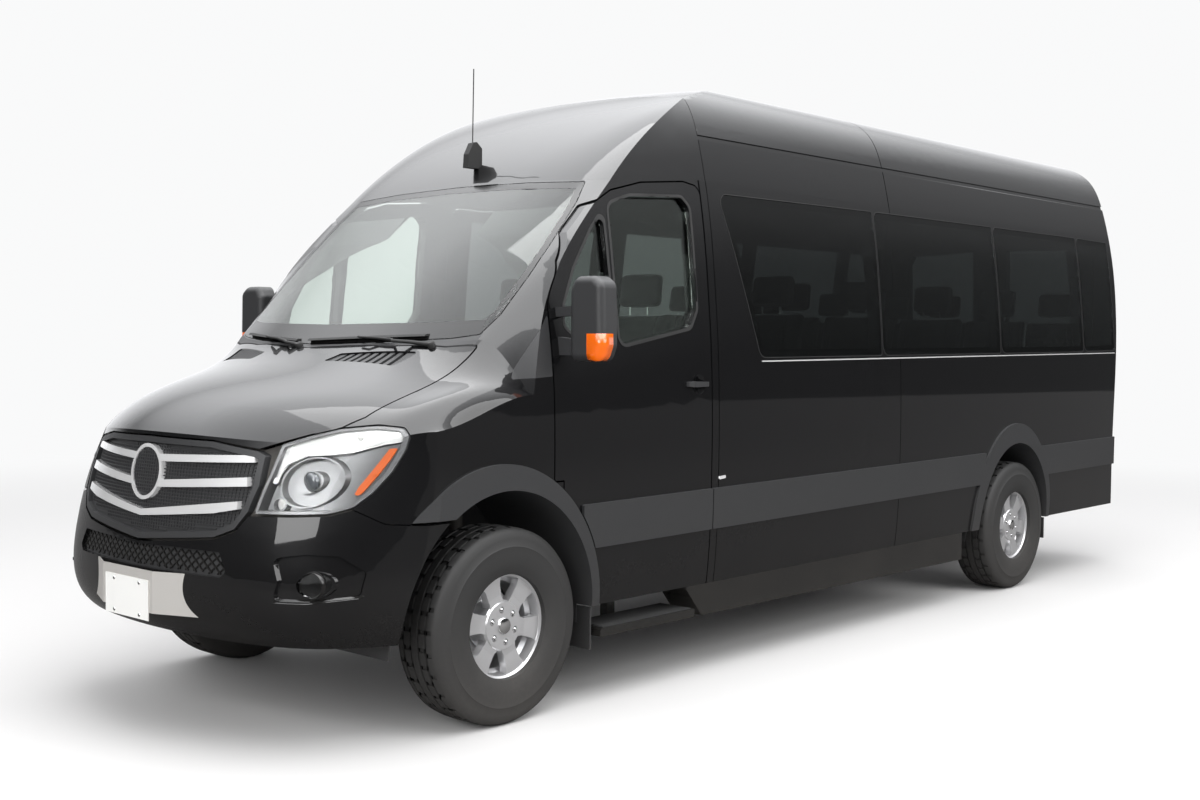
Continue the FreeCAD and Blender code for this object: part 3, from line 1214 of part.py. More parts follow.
TYRE_SECTION = [(-98, RIM_FLANGE - 17.5), (-122.5, 298), (-110, 370), (-86, TYRE_RADIUS), (86, TYRE_RADIUS),
                (110, 370), (122.5, 298), (98, RIM_FLANGE - 17.5)]


def tyre_shape():
    half = TYRE_WIDTH / 245.0
    return revolve_x([(x * half, r) for x, r in TYRE_SECTION], V(0, 0, 0))


rim0 = rim_shape()
disc0 = brake_disc()
tyre0 = tyre_shape().cut(rim0)
WHEELS = [("front_left", 1, FRONT_AXLE_Y), ("front_right", -1, FRONT_AXLE_Y),
          ("rear_left", 1, REAR_AXLE_Y), ("rear_right", -1, REAR_AXLE_Y)]
for name, side, y in WHEELS:
    for kind, group in (("rim", [rim0, disc0]), ("tyre", [tyre0])):
        out = []
        for s in group:
            c = s.copy()
            c.translate(V(WHEEL_X, y, HUB))
            out.append(c if side > 0 else mirror_x(c))
        save("wheel_" + name + "_" + kind, out)

# Rear bumper with a step, and the sill below the rear doors
sill = panel("rear", 0.0, WALL, box(-300.0, 300.0, ey(-200.0), ey(100.0), SILL_Z, REAR_DOOR_LOW - GAP))
BUMP_STEP_Z = 545.0
bump_pts = [(-900.0, ey(-110.0)), (900.0, ey(-110.0)), (880.0, ey(10.0)), (600.0, ey(36.0)),
            (-600.0, ey(36.0)),
            (-880.0, ey(10.0))]
rear_bump = prism_z(bump_pts, 420.0, BUMP_STEP_Z, [10, 10, 50, 60, 60, 50]).cut(envelope(0.0, False))
save("rear_bumper", [rear_bump, sill])

# Tail lamps at the rear corners
tail = panel("rear", 0.0, FENDER_SKIN, tail_region(0.0))
save("tail_lamps", both(tail))

# Running boards with a step ahead of a closed fairing
BOARD_LOW = 250.0
step_board = prism_x([(fy(520.0), 270.0), (fy(1150.0), 266.0), (fy(1150.0), 305.0), (fy(520.0), 305.0)],
                     780.0, 978.0, 8.0)
fairing = prism_x([(fy(1222.0), 262.0), (fy(3656.0), BOARD_LOW), (fy(3656.0), SILL_Z), (fy(1110.0), SILL_Z),
                   (fy(1110.0), 392.0)],
                  800.0, 962.0, [6, 6, 2, 2, 6])
fairing = fairing.cut(box(700.0, 1000.0, fy(1100.0), fy(1150.0), 260.0, 306.0))
hang_rear = box(760.0, 800.0, fy(760.0), fy(810.0), 270.0, RAIL_LOW + 50.0)
board = fuse([step_board, hang_rear])
save("running_boards", both(board) + both(fairing))

# Mud flaps
FLAP_THICK = 8.0
FLAP_TOP = SILL_Z - GAP
front_leg = fy(ARCH_SHIFT) + ARCH_HALF + HOUSING
rear_leg = REAR_ARCH_Y + REAR_ARCH_HALF + HOUSING
front_flap = box(742.0, 958.0, front_leg, front_leg + FLAP_THICK, 222.0, FLAP_TOP)
rear_flap = box(742.0, 958.0, rear_leg, rear_leg + FLAP_THICK, 268.0, FLAP_TOP)
save("wheel_housings", both(front_house) + both(rear_house) + both(front_flap) + both(rear_flap))

# Exhaust under the right side and fuel tank under the left
exhaust = fuse([cyl(30.0, V(-170.0, fy(300.0), 420.0), V(-170.0, fy(1950.0), 420.0)),
                cyl(95.0, V(-170.0, fy(1950.0), 420.0), V(-170.0, fy(2500.0), 420.0)),
                cyl(30.0, V(-170.0, fy(2500.0), 420.0), V(-170.0, fy(3300.0), 420.0)),
                box(-190.0, -150.0, fy(2200.0), fy(2230.0), 500.0, FLOOR_LOW)])
save("exhaust", exhaust)
tank = prism_x([(fy(1800.0), 330.0), (fy(2800.0), 330.0), (fy(2800.0), RAIL_LOW + 48.0),
                (fy(1800.0), RAIL_LOW + 48.0)],
               RAIL_X + RAIL_W / 2 + 6.0, 780.0, 30.0)
tank_strap = box(RAIL_X + RAIL_W / 2, 700.0, fy(2200.0), fy(2240.0), RAIL_LOW + 48.0, FLOOR_LOW)
tank_hook = box(RAIL_X + RAIL_W / 2, RAIL_X + RAIL_W / 2 + 6.0, fy(2200.0), fy(2240.0), RAIL_LOW + 10.0,
                RAIL_LOW + 60.0)
save("fuel_tank", fuse([tank, tank_strap, tank_hook]))

# Dashboard with the column shroud
DASH = [(-70, 1408), (-70, 1436), (250, 1440), (420, 1384), (462, 1290), (430, 1080), (330, 980),
        (FIREWALL_Y + FIREWALL_THICK, 980), (FIREWALL_Y + FIREWALL_THICK, 1408)]
WHEEL_C = V(418.0, fy(672.0), 1222.0)
COLUMN_TILT = 36.0
COLUMN = V(0, -math.sin(math.radians(COLUMN_TILT)), -math.cos(math.radians(COLUMN_TILT)))
dash = prism_x(outline_fy(DASH), -840.0, 840.0,
               [4, 12, 40, 40, 30, 30, 10, 0, 0]).common(envelope(DOOR_THICK, True))
column = cyl(36.0, WHEEL_C + COLUMN * 52.0, WHEEL_C + COLUMN * 300.0)
col_box = box(WHEEL_C.x - 30.0, WHEEL_C.x + 30.0, fy(400.0), fy(560.0), 1040.0, 1110.0)
save("dashboard", [fuse([dash, column, col_box])])

# Steering wheel
WHEEL_MAJOR = 182.0
WHEEL_MINOR = 14.0
ring = Part.makeTorus(WHEEL_MAJOR, WHEEL_MINOR)
hubc = Part.makeCylinder(58.0, 36.0, V(0, 0, -40.0))
boss = Part.makeCylinder(22.0, 12.0, V(0, 0, -51.0))
spoke = [box(-WHEEL_MAJOR, WHEEL_MAJOR, -17.0, 17.0, -22.0, -6.0),
         box(-15.0, 15.0, -WHEEL_MAJOR, 0.0, -22.0, -6.0)]
steer = fuse([ring, hubc, boss] + spoke)
steer.rotate(V(0, 0, 0), V(1, 0, 0), -COLUMN_TILT)
steer.translate(WHEEL_C)
save("steering_wheel", steer)

# Seats: base, cushion, back and head rest, each a rounded slab
def seat(x0, x1, y, z, deep, high, head):
    w = x1 - x0
    out = []
    cush = prism_x([(y, z - 105.0), (y + deep, z - 120.0), (y + deep, z - 10.0), (y, z)], x0, x1,
                   [35, 20, 20, 40])
    back = prism_x([(y + deep - 96.0, z - 8.0), (y + deep + 10.0, z - 12.0), (y + deep + 130.0, z + high),
                    (y + deep + 50.0, z + high)], x0 + 8.0, x1 - 8.0, [10, 20, 35, 35]).cut(cush)
    out += [cush, back]
    if head:
        hx = (x0 + x1) / 2
        rest = prism_x([(y + deep + 52.0, z + high + 24.0), (y + deep + 138.0, z + high + 24.0),
                        (y + deep + 150.0, z + high + 190.0), (y + deep + 84.0, z + high + 190.0)],
                       hx - 125.0, hx + 125.0, [25, 25, 30, 30])
        out.append(rest)
        for dx in (-55.0, 55.0):
            out.append(cyl(6.0, V(hx + dx, y + deep + 92.0, z + high - 1.0),
                           V(hx + dx, y + deep + 92.0, z + high + 24.0)))
    return out


CAB_SEAT_Y = 880.0
CAB_SEAT_Z = 1072.0
cab_seats = []
for side in (1, -1):
    x0, x1 = (180.0, 660.0) if side > 0 else (-660.0, -180.0)
    cab_seats += seat(x0, x1, fy(CAB_SEAT_Y), CAB_SEAT_Z, 430.0, 560.0, True)
    base = box(x0 + 60.0, x1 - 60.0, fy(CAB_SEAT_Y + 40.0), fy(CAB_SEAT_Y + 400.0), FLOOR_Z,
               CAB_SEAT_Z - 60.0)
    cab_seats.append(base.cut(cab_seats[-5]))
save("cab_seats", cab_seats)

SEAT_W = 445.0
SEAT_GAP = 8.0
SEAT_PITCH = 830.0
ROW_Y = 1720.0
SEAT_Z = 1090.0
ROWS = 4
cabin = []
legs = []


def legs_for(x0, x1, y):
    out = []
    bar = box(x0 + 30.0, x1 - 30.0, y + 60.0, y + 100.0, SEAT_Z - 160.0, SEAT_Z - 114.0)
    bar2 = box(x0 + 30.0, x1 - 30.0, y + 300.0, y + 340.0, SEAT_Z - 160.0, SEAT_Z - 116.0)
    posts = []
    lx0 = max(x0 + 40.0, -592.0)
    lx1 = min(x1 - 80.0, 552.0)
    for lx in (lx0, lx1):
        posts.append(box(lx, lx + 40.0, y + 60.0, y + 340.0, FLOOR_Z, FLOOR_Z + 14.0))
        posts.append(box(lx, lx + 40.0, y + 60.0, y + 100.0, FLOOR_Z, SEAT_Z - 120.0))
        posts.append(box(lx, lx + 40.0, y + 300.0, y + 340.0, FLOOR_Z, SEAT_Z - 120.0))
    return fuse([bar, bar2] + posts)


WALL_CLEAR = 838.0
for r in range(ROWS + 1):
    y = fy(ROW_Y + SEAT_PITCH * r)
    spans = [(WALL_CLEAR - SEAT_W, WALL_CLEAR),
             (WALL_CLEAR - 2 * SEAT_W - SEAT_GAP, WALL_CLEAR - SEAT_W - SEAT_GAP)]
    benches = [(spans[1][0], spans[0][1])]
    if 0 < r < ROWS:
        spans.append((-WALL_CLEAR, -WALL_CLEAR + SEAT_W))
        benches.append((-WALL_CLEAR, -WALL_CLEAR + SEAT_W))
    if r == ROWS:
        spans = []
        four = (2 * WALL_CLEAR - 3 * SEAT_GAP) / 4.0
        for i in range(4):
            a = -WALL_CLEAR + i * (four + SEAT_GAP)
            spans.append((a, a + four))
        benches = [(-WALL_CLEAR, WALL_CLEAR)]
    for a, b in spans:
        cabin += seat(a, b, y, SEAT_Z, 410.0, 560.0, True)
    for a, b in benches:
        leg = legs_for(a, b, y)
        legs.append(leg)
cush = [c for c in cabin]
leg_cut = []
for leg in legs:
    near = [c for c in cush if c.BoundBox.intersect(leg.BoundBox)]
    leg_cut.append(leg.cut(near) if near else leg)
save("cabin_seats", cabin)
save("seat_frames", leg_cut)

# Front plate bracket of bent sheet with a blank plate
PLATE_W = 305.0
PLATE_H = 152.0
PLATE_Z = 525.0
SHEET = 3.0
BRACKET_Y = fy(-1064.0)
PLATE_T = 2.0
PLATE_HOLE_X = 88.9
PLATE_HOLE_Z = 60.325
PLATE_HOLE_R = 3.5
sheet = [(-372.0, fy(-985.0)), (-176.0, BRACKET_Y), (176.0, BRACKET_Y), (372.0, fy(-985.0)),
         (372.0, fy(-985.0) + 8.0), (176.0, BRACKET_Y + SHEET), (-176.0, BRACKET_Y + SHEET),
         (-372.0, fy(-985.0) + 8.0)]
bracket = prism_z(sheet, PLATE_Z - 45.0, PLATE_Z + 112.0, 0).cut(envelope(0.0, True))
strut_f = box(-60.0, 60.0, BRACKET_Y + SHEET, fy(-960.0), PLATE_Z - 20.0,
              PLATE_Z + 20.0).cut(envelope(0.0, True))
plate = box(-PLATE_W / 2, PLATE_W / 2, BRACKET_Y - PLATE_T, BRACKET_Y, PLATE_Z - PLATE_H / 2,
            PLATE_Z + PLATE_H / 2)
plate_holes = []
for sx in (-1, 1):
    for sz in (-1, 1):
        c = V(sx * PLATE_HOLE_X, BRACKET_Y - 20.0, PLATE_Z + sz * PLATE_HOLE_Z)
        plate_holes.append(cyl(PLATE_HOLE_R, c, c + V(0, 40.0, 0)))
front_bracket = fuse([bracket, strut_f]).cut(plate_holes)
save("plate_bracket", [front_bracket, plate.cut(plate_holes)])

# Door mirrors with their arms, turn lamp and glass
MIRROR_IN = 1036.0
MIRROR_OUT = 1213.0
MIRROR_LOW = 1418.0
MIRROR_HIGH = 1752.0
MIRROR_Y = 252.0
MIRROR_DEEP = 92.0


def mirror_head():
    head = prism_y([(MIRROR_IN + 14.0, MIRROR_LOW), (MIRROR_OUT - 24.0, MIRROR_LOW),
                    (MIRROR_OUT, MIRROR_LOW + 60.0),
                    (MIRROR_OUT - 6.0, MIRROR_HIGH - 30.0), (MIRROR_OUT - 50.0, MIRROR_HIGH),
                     (MIRROR_IN + 30.0, MIRROR_HIGH),
                    (MIRROR_IN, MIRROR_HIGH - 50.0), (MIRROR_IN, MIRROR_LOW + 30.0)],
                   fy(MIRROR_Y), fy(MIRROR_Y + MIRROR_DEEP), [30, 40, 40, 40, 50, 40, 30, 20])
    face_y = fy(MIRROR_Y)
    front = [e for e in head.Edges if abs(e.BoundBox.YMax - face_y) < 0.1 and abs(e.BoundBox.YMin - face_y) < 0.1]
    return head.makeFillet(30.0, front)


mirror = mirror_head()
back_y = fy(MIRROR_Y + MIRROR_DEEP)
glass_tool = prism_y([(MIRROR_IN + 18.0, MIRROR_LOW + 118.0), (MIRROR_OUT - 20.0, MIRROR_LOW + 118.0),
                      (MIRROR_OUT - 24.0, MIRROR_HIGH - 22.0), (MIRROR_IN + 22.0, MIRROR_HIGH - 22.0)],
                     back_y - 6.0, back_y, 24.0)
glass_low = prism_y([(MIRROR_IN + 18.0, MIRROR_LOW + 22.0), (MIRROR_OUT - 40.0, MIRROR_LOW + 22.0),
                     (MIRROR_OUT - 30.0, MIRROR_LOW + 106.0), (MIRROR_IN + 18.0, MIRROR_LOW + 106.0)],
                    back_y - 6.0, back_y, 16.0)
arm_a = prism_y([(900.0, 1440.0), (MIRROR_IN + 30.0, 1440.0), (MIRROR_IN + 30.0, 1500.0), (900.0, 1520.0)],
                fy(MIRROR_Y + 20.0), fy(MIRROR_Y + 62.0), 0)
arm_b = prism_y([(900.0, 1590.0), (MIRROR_IN + 30.0, 1600.0), (MIRROR_IN + 30.0, 1636.0), (900.0, 1630.0)],
                fy(MIRROR_Y + 22.0), fy(MIRROR_Y + 58.0), 0)
arms = [a.cut(envelope(0.0, True)) for a in (arm_a, arm_b)]
arms = [a.cut(mirror) for a in arms]
turn = box(MIRROR_OUT - 78.0, MIRROR_OUT + 10.0, fy(MIRROR_Y - 10.0), fy(MIRROR_Y + 70.0), MIRROR_LOW - 5.0,
           MIRROR_LOW + 108.0)
turn_lens = mirror.common(turn)
mirror = mirror.cut([glass_tool, glass_low, turn])
shell_parts = [mirror, handle] + arms
save("door_left_trim", shell_parts + [door_strip])
save("door_right_trim", [mirror_x(p) for p in shell_parts + [door_strip]])
save("mirror_left_glass", [glass_tool, glass_low, turn_lens])
save("mirror_right_glass", [mirror_x(p) for p in (glass_tool, glass_low, turn_lens)])

# Antenna fin and rod on the roof's front
fin = prism_x([(fy(655.0), 2290.0), (fy(745.0), 2290.0), (fy(745.0), 2385.0), (fy(712.0), 2412.0),
               (fy(690.0), 2408.0),
               (fy(660.0), 2352.0)], -17.0, 17.0, [0, 0, 10, 8, 8, 10]).cut(envelope(0.0, True))
ROD_R = 2.6
rod = cyl(ROD_R, V(0, fy(700.0), 2400.0), V(0, fy(706.0), 2748.0)).cut(fin)
save("antenna", [fin, rod])

# Wipers parked along the foot of the windscreen
blade_a = [(-30, 1490), (590, 1512), (590, 1521), (-30, 1499)]
blade_b = [(-640, 1514), (-110, 1489), (-110, 1498), (-640, 1523)]
wipers = []
for pts in (blade_a, blade_b):
    blade = envelope(-FLARE_OUT, True).common(region_y(pts, fy(-420.0), fy(400.0), 0))
    wipers += blade.cut(envelope(0.0, True)).Solids
save("wipers", wipers)
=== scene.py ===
# %% [markdown]
# # A minibus with a high roof
#
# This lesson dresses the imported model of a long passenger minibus. The model gives the panels, doors,
# wheels and seats at their real size, and every piece made here is placed from it. The lesson goes from
# the camera and the light to paint, glass and plastics, and then to tyres, lamps, trim and seats.

import json
import math

import bmesh
import bpy
from mathutils import Matrix, Vector
from mathutils.bvhtree import BVHTree


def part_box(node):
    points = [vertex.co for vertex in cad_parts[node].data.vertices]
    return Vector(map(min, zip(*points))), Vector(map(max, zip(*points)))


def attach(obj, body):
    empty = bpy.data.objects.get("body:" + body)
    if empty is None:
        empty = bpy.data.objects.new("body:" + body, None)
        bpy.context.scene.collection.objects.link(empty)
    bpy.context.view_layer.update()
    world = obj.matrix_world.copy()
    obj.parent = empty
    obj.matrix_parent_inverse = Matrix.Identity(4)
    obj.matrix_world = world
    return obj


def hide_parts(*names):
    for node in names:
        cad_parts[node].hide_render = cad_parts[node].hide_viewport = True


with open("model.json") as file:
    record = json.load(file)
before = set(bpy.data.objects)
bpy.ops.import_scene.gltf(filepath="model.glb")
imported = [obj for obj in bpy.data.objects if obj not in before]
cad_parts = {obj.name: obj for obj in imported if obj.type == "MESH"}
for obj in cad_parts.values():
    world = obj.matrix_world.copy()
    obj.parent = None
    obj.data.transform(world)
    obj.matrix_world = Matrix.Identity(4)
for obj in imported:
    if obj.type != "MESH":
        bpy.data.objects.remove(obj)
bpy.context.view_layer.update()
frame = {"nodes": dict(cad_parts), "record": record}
nodes = frame["nodes"]

# %% [markdown]
# ## The camera
#
# The photograph was taken at standing height beside the front corner. The place, the turn and the lens
# were found by fitting the wheelbase, the tyres and the roof line, so the frame of the picture lines up.
# A small shift moves the lens axis to where it was in the photograph.

# %% Camera at the photograph's place
CAMERA_AT = Vector((4.9314, -6.3198, 1.5035))
CAMERA_TURN = math.radians(41.8153)
CAMERA_DIP = math.radians(2.4772)
CAMERA_ROLL = math.radians(0.4122)
PICTURE_WIDE, PICTURE_HIGH = 1200.0, 800.0
FOCAL_PX = 1438.8
LENS_AXIS_PX = (604.35, 401.75)
SENSOR = 36.0


def camera_matrix():
    ahead = Vector((-math.sin(CAMERA_TURN) * math.cos(CAMERA_DIP),
                    math.cos(CAMERA_TURN) * math.cos(CAMERA_DIP),
                    -math.sin(CAMERA_DIP)))
    level = Vector((math.cos(CAMERA_TURN), math.sin(CAMERA_TURN), 0.0))
    above = level.cross(ahead)
    right = level * math.cos(CAMERA_ROLL) + above * math.sin(CAMERA_ROLL)
    up = above * math.cos(CAMERA_ROLL) - level * math.sin(CAMERA_ROLL)
    turn = Matrix((right, up, -ahead)).transposed().to_4x4()
    return Matrix.Translation(CAMERA_AT) @ turn


lens = bpy.data.cameras.new("camera")
lens.sensor_width = SENSOR
lens.lens = FOCAL_PX / PICTURE_WIDE * SENSOR
lens.shift_x = (PICTURE_WIDE / 2 - LENS_AXIS_PX[0]) / PICTURE_WIDE
lens.shift_y = (LENS_AXIS_PX[1] - PICTURE_HIGH / 2) / PICTURE_WIDE
lens.clip_end = 300.0
camera = bpy.data.objects.new("camera", lens)
camera.matrix_world = camera_matrix()
bpy.context.scene.collection.objects.link(camera)
bpy.context.scene.camera = camera
print("lens", round(lens.lens, 2), "mm")

# %% [markdown]
# ## Helpers for shader nodes
#
# The floor, the world and every material are built from nodes. One helper adds a node, sets it and feeds
# its inputs with values or with other nodes, so that each cell below says in a few lines what it does.

# %% Nodes, sums, noise and mixes
def feed(tree, socket, value):
    # Gives a socket a value, or links it to an output
    if isinstance(value, bpy.types.NodeSocket):
        tree.links.new(value, socket)
    elif socket.type == "RGBA" and len(value) == 3:
        socket.default_value = (*value, 1.0)
    else:
        socket.default_value = value


def put(tree, kind, inputs=None, **settings):
    # Adds a node; inputs says what goes into which socket, by name or number
    node = tree.nodes.new("ShaderNode" + kind)
    for key, value in settings.items():
        setattr(node, key, value)
    for key, value in (inputs or {}).items():
        feed(tree, node.inputs[key], value)
    return node


def position(tree):
    # The place on the piece, which stays the same when a joint moves it
    return put(tree, "TexCoord").outputs["Object"]


def math_node(tree, operation, *values, clamp=False):
    return put(tree, "Math", dict(enumerate(values)), operation=operation, use_clamp=clamp).outputs[0]


def noise(tree, place, scale, detail=3.0, rough=0.5):
    inputs = {"Vector": place, "Scale": scale, "Detail": detail, "Roughness": rough}
    return put(tree, "TexNoise", inputs).outputs["Fac"]


def mix_colour(tree, factor, a, b):
    node = put(tree, "Mix", {0: factor}, data_type="RGBA")
    for socket, colour in zip([socket for socket in node.inputs if socket.type == "RGBA"], (a, b)):
        feed(tree, socket, colour)
    return [socket for socket in node.outputs if socket.type == "RGBA"][0]


# %% [markdown]
# ## Floor and light
#
# Black paint shows almost nothing but what it reflects, so the studio matters more than the colour.
# A pale floor, a pale surround and three wide soft boxes give the long soft highlights of an open sky.
# The floor is dark to gloss, as wet asphalt is, and far out it turns into the backdrop to the eye.

# %% Floor and soft boxes
BACKDROP = (0.95, 0.953, 0.956)
FLOOR_HALF = 60.0
FLOOR_PALE = (0.74, 0.735, 0.73)
FLOOR_IN_GLOSS = (0.045, 0.042, 0.04)
FLOOR_FADE = {"From Min": 4.5, "From Max": 12.0}


def floor_material():
    material = bpy.data.materials.new("studio_floor")
    material.use_nodes = True
    tree = material.node_tree
    shader = tree.nodes["Principled BSDF"]
    shader.inputs["Roughness"].default_value = 0.7
    path = put(tree, "LightPath")
    colour = mix_colour(tree, path.outputs["Is Glossy Ray"], FLOOR_PALE, FLOOR_IN_GLOSS)
    feed(tree, shader.inputs["Base Color"], colour)
    away = put(tree, "VectorMath", {0: position(tree)}, operation="LENGTH").outputs["Value"]
    fade = put(tree, "MapRange", {"Value": away, **FLOOR_FADE}, interpolation_type="SMOOTHSTEP")
    seen = math_node(tree, "MULTIPLY", path.outputs["Is Camera Ray"], fade.outputs["Result"])
    pale = put(tree, "Emission", {"Color": BACKDROP})
    blend = put(tree, "MixShader", {0: seen, 1: shader.outputs[0], 2: pale.outputs[0]})
    feed(tree, tree.nodes["Material Output"].inputs["Surface"], blend.outputs[0])
    return material


def floor_piece():
    bm = bmesh.new()
    bmesh.ops.create_grid(bm, x_segments=1, y_segments=1, size=FLOOR_HALF)
    mesh = bpy.data.meshes.new("floor")
    bm.to_mesh(mesh)
    bm.free()
    mesh.materials.append(floor_material())
    piece = bpy.data.objects.new("floor", mesh)
    bpy.context.scene.collection.objects.link(piece)


def soft_box(name, at, towards, wide, high, watts):
    light = bpy.data.lights.new(name, "AREA")
    light.shape = "RECTANGLE"
    light.size = wide
    light.size_y = high
    light.energy = watts
    lamp = bpy.data.objects.new(name, light)
    lamp.location = at
    lamp.rotation_euler = (Vector(towards) - Vector(at)).to_track_quat("-Z", "Y").to_euler()
    bpy.context.scene.collection.objects.link(lamp)


floor_piece()
soft_box("sky_box", (2.0, -1.0, 9.0), (0.0, 0.0, 0.8), 9.0, 12.0, 900.0)
soft_box("front_box", (3.5, -10.5, 4.5), (0.0, -2.5, 1.0), 6.0, 4.0, 420.0)
soft_box("side_box", (9.5, 1.5, 5.0), (0.5, 0.5, 1.0), 8.0, 4.0, 380.0)

# %% The world
SKY_BRIGHT = 3.2
SKY_STOPS = ((0.0, 0.010), (0.53, 0.014), (0.58, 0.035), (0.70, 0.20), (0.86, 1.0))
SCREEN_WAY = (-0.667, 0.745, 0.0)
SCREEN_SPAN = {"From Min": 0.45, "From Max": 0.85, "To Min": 0.0, "To Max": 1.15}


def gloss_strength(sky):
    # Gloss sees dark trees near the horizon and a bright sky above. Beyond the vehicle stands a pale
    # screen, which the roof and the hood show at grazing angles
    way = put(sky, "TexCoord").outputs["Generated"]
    height = put(sky, "SeparateXYZ", {0: way}).outputs["Z"]
    ramp = put(sky, "ValToRGB", {"Fac": math_node(sky, "MULTIPLY_ADD", height, 0.5, 0.5)})
    stops = ramp.color_ramp.elements
    for at, grey in SKY_STOPS:
        stop = stops.new(at) if at > 0.0 else stops[0]
        stop.color = (grey, grey, grey, 1.0)
    bright = math_node(sky, "MULTIPLY", ramp.outputs["Color"], SKY_BRIGHT)
    beyond = put(sky, "VectorMath", {0: way, 1: SCREEN_WAY}, operation="DOT_PRODUCT").outputs["Value"]
    screen = put(sky, "MapRange", {"Value": beyond, **SCREEN_SPAN}, interpolation_type="SMOOTHSTEP")
    return math_node(sky, "MAXIMUM", bright, screen.outputs["Result"])


def studio_world():
    # The eye sees the backdrop, gloss sees the sky, and all other light is an even grey
    world = bpy.data.worlds.new("studio")
    bpy.context.scene.world = world
    world.use_nodes = True
    sky = world.node_tree
    sky.nodes.clear()
    seen = put(sky, "Background", {"Color": BACKDROP})
    lit = put(sky, "Background", {"Color": (0.60, 0.60, 0.61)})
    gloss = put(sky, "Background", {"Color": (0.97, 0.98, 1.0), "Strength": gloss_strength(sky)})
    path = put(sky, "LightPath")
    first = put(sky, "MixShader", {0: path.outputs["Is Glossy Ray"], 1: lit.outputs[0], 2: gloss.outputs[0]})
    either = math_node(sky, "MAXIMUM", path.outputs["Is Camera Ray"], path.outputs["Is Transmission Ray"])
    last = put(sky, "MixShader", {0: either, 1: first.outputs[0], 2: seen.outputs[0]})
    put(sky, "OutputWorld", {"Surface": last.outputs[0]})


studio_world()
bpy.context.scene.view_settings.view_transform = "Standard"

# %% [markdown]
# ## Effects that several finishes share
#
# A vehicle that is used is never one flat colour. Fine dust settles low on the body, moulded plastic has
# a leather-like grain, and metal is brushed. Each effect is one node group with named inputs, so that
# every material can take it with its own values.


# %% Helpers for node groups
def new_group(name, inputs, *outputs):
    # Inputs are names with their defaults, whose form gives the kind of socket
    group = bpy.data.node_groups.new(name, "ShaderNodeTree")
    for label, value in inputs.items():
        kind = "Float" if isinstance(value, float) else "Vector" if len(value) == 3 else "Color"
        socket = group.interface.new_socket(name=label, in_out="INPUT", socket_type="NodeSocket" + kind)
        socket.default_value = value
    for label in outputs:
        kind = "Color" if label == "Color" else "Float"
        group.interface.new_socket(name=label, in_out="OUTPUT", socket_type="NodeSocket" + kind)
    start, end = group.nodes.new("NodeGroupInput"), group.nodes.new("NodeGroupOutput")
    return group, start.outputs, end.inputs


def spread(group, start, amount):
    # A roughness between the group's Low and High
    span = math_node(group, "SUBTRACT", start["High"], start["Low"])
    return math_node(group, "ADD", math_node(group, "MULTIPLY", amount, span), start["Low"])


# %% Node group: road dust
def make_road_dust():
    # Dust that thins out with height and lies in soft patches
    group, start, end = new_group(
        "road_dust", {"Color": (0.01, 0.01, 0.01, 1.0), "Dust": (0.30, 0.27, 0.23, 1.0), "Amount": 0.3,
                      "Height": 1.0, "Clean": 0.05}, "Color", "Mask")
    place = position(group)
    height = put(group, "SeparateXYZ", {0: place}).outputs["Z"]
    low = math_node(group, "SUBTRACT", 1.0, math_node(group, "DIVIDE", height, start["Height"]), clamp=True)
    low = math_node(group, "ADD", math_node(group, "MULTIPLY", low, low), start["Clean"])
    fine = math_node(group, "ADD", noise(group, place, 60.0, 3.0, 0.6), 0.5)
    patch = math_node(group, "MULTIPLY", noise(group, place, 2.3, 4.0, 0.55), fine)
    mask = math_node(group, "MULTIPLY", math_node(group, "MULTIPLY", low, patch), start["Amount"], clamp=True)
    feed(group, end["Color"], mix_colour(group, mask, start["Color"], start["Dust"]))
    feed(group, end["Mask"], mask)
    return group


# %% Node group: moulded grain
def make_moulded_grain():
    # Pebbled surface of moulded plastic, leather and rubber
    group, start, end = new_group("moulded_grain", {"Scale": 700.0, "Low": 0.35, "High": 0.6},
                                  "Height", "Roughness")
    place = position(group)
    cells = put(group, "TexVoronoi", {"Vector": place, "Scale": start["Scale"]}, feature="SMOOTH_F1")
    feed(group, end["Height"], cells.outputs["Distance"])
    feed(group, end["Roughness"], spread(group, start, noise(group, place, 9.0)))
    return group


# %% Node group: drawn metal
def make_drawn_metal():
    # Fine lines along one axis, with a little spread in roughness
    group, start, end = new_group("drawn_metal", {"Along": (2.0, 260.0, 260.0), "Low": 0.25, "High": 0.45},
                                  "Height", "Roughness")
    stretch = put(group, "VectorMath", {0: position(group), 1: start["Along"]}, operation="MULTIPLY")
    lines = noise(group, stretch.outputs[0], 3.0, 4.0, 0.6)
    feed(group, end["Height"], lines)
    feed(group, end["Roughness"], spread(group, start, lines))
    return group


# %% Node group: woven cloth
def make_weave():
    # Crossed threads from two sets of waves
    group, start, end = new_group("weave", {"Scale": 260.0, "Thread": (0.06, 0.06, 0.065, 1.0),
                                            "Shade": (0.02, 0.02, 0.022, 1.0)}, "Color", "Height")
    place = position(group)
    inputs = {"Vector": place, "Scale": start["Scale"], "Distortion": 0.6, "Detail": 1.0}
    waves = [put(group, "TexWave", inputs, bands_direction=axis).outputs["Fac"] for axis in ("X", "Z")]
    cross = math_node(group, "MULTIPLY", *waves)
    tone = math_node(group, "MULTIPLY", cross, noise(group, place, 14.0))
    feed(group, end["Color"], mix_colour(group, tone, start["Shade"], start["Thread"]))
    feed(group, end["Height"], cross)
    return group


ROAD_DUST = make_road_dust()
MOULDED_GRAIN = make_moulded_grain()
DRAWN_METAL = make_drawn_metal()
WEAVE = make_weave()

# %% [markdown]
# ## Materials
#
# One helper makes a material from a Principled shader, and takes its dust, its grain and its numbers.
# The numbers that are the same all over a surface stay on the shader's own sockets.


# %% Material helpers
def use_group(tree, group, **values):
    return put(tree, "Group", values, node_tree=group)


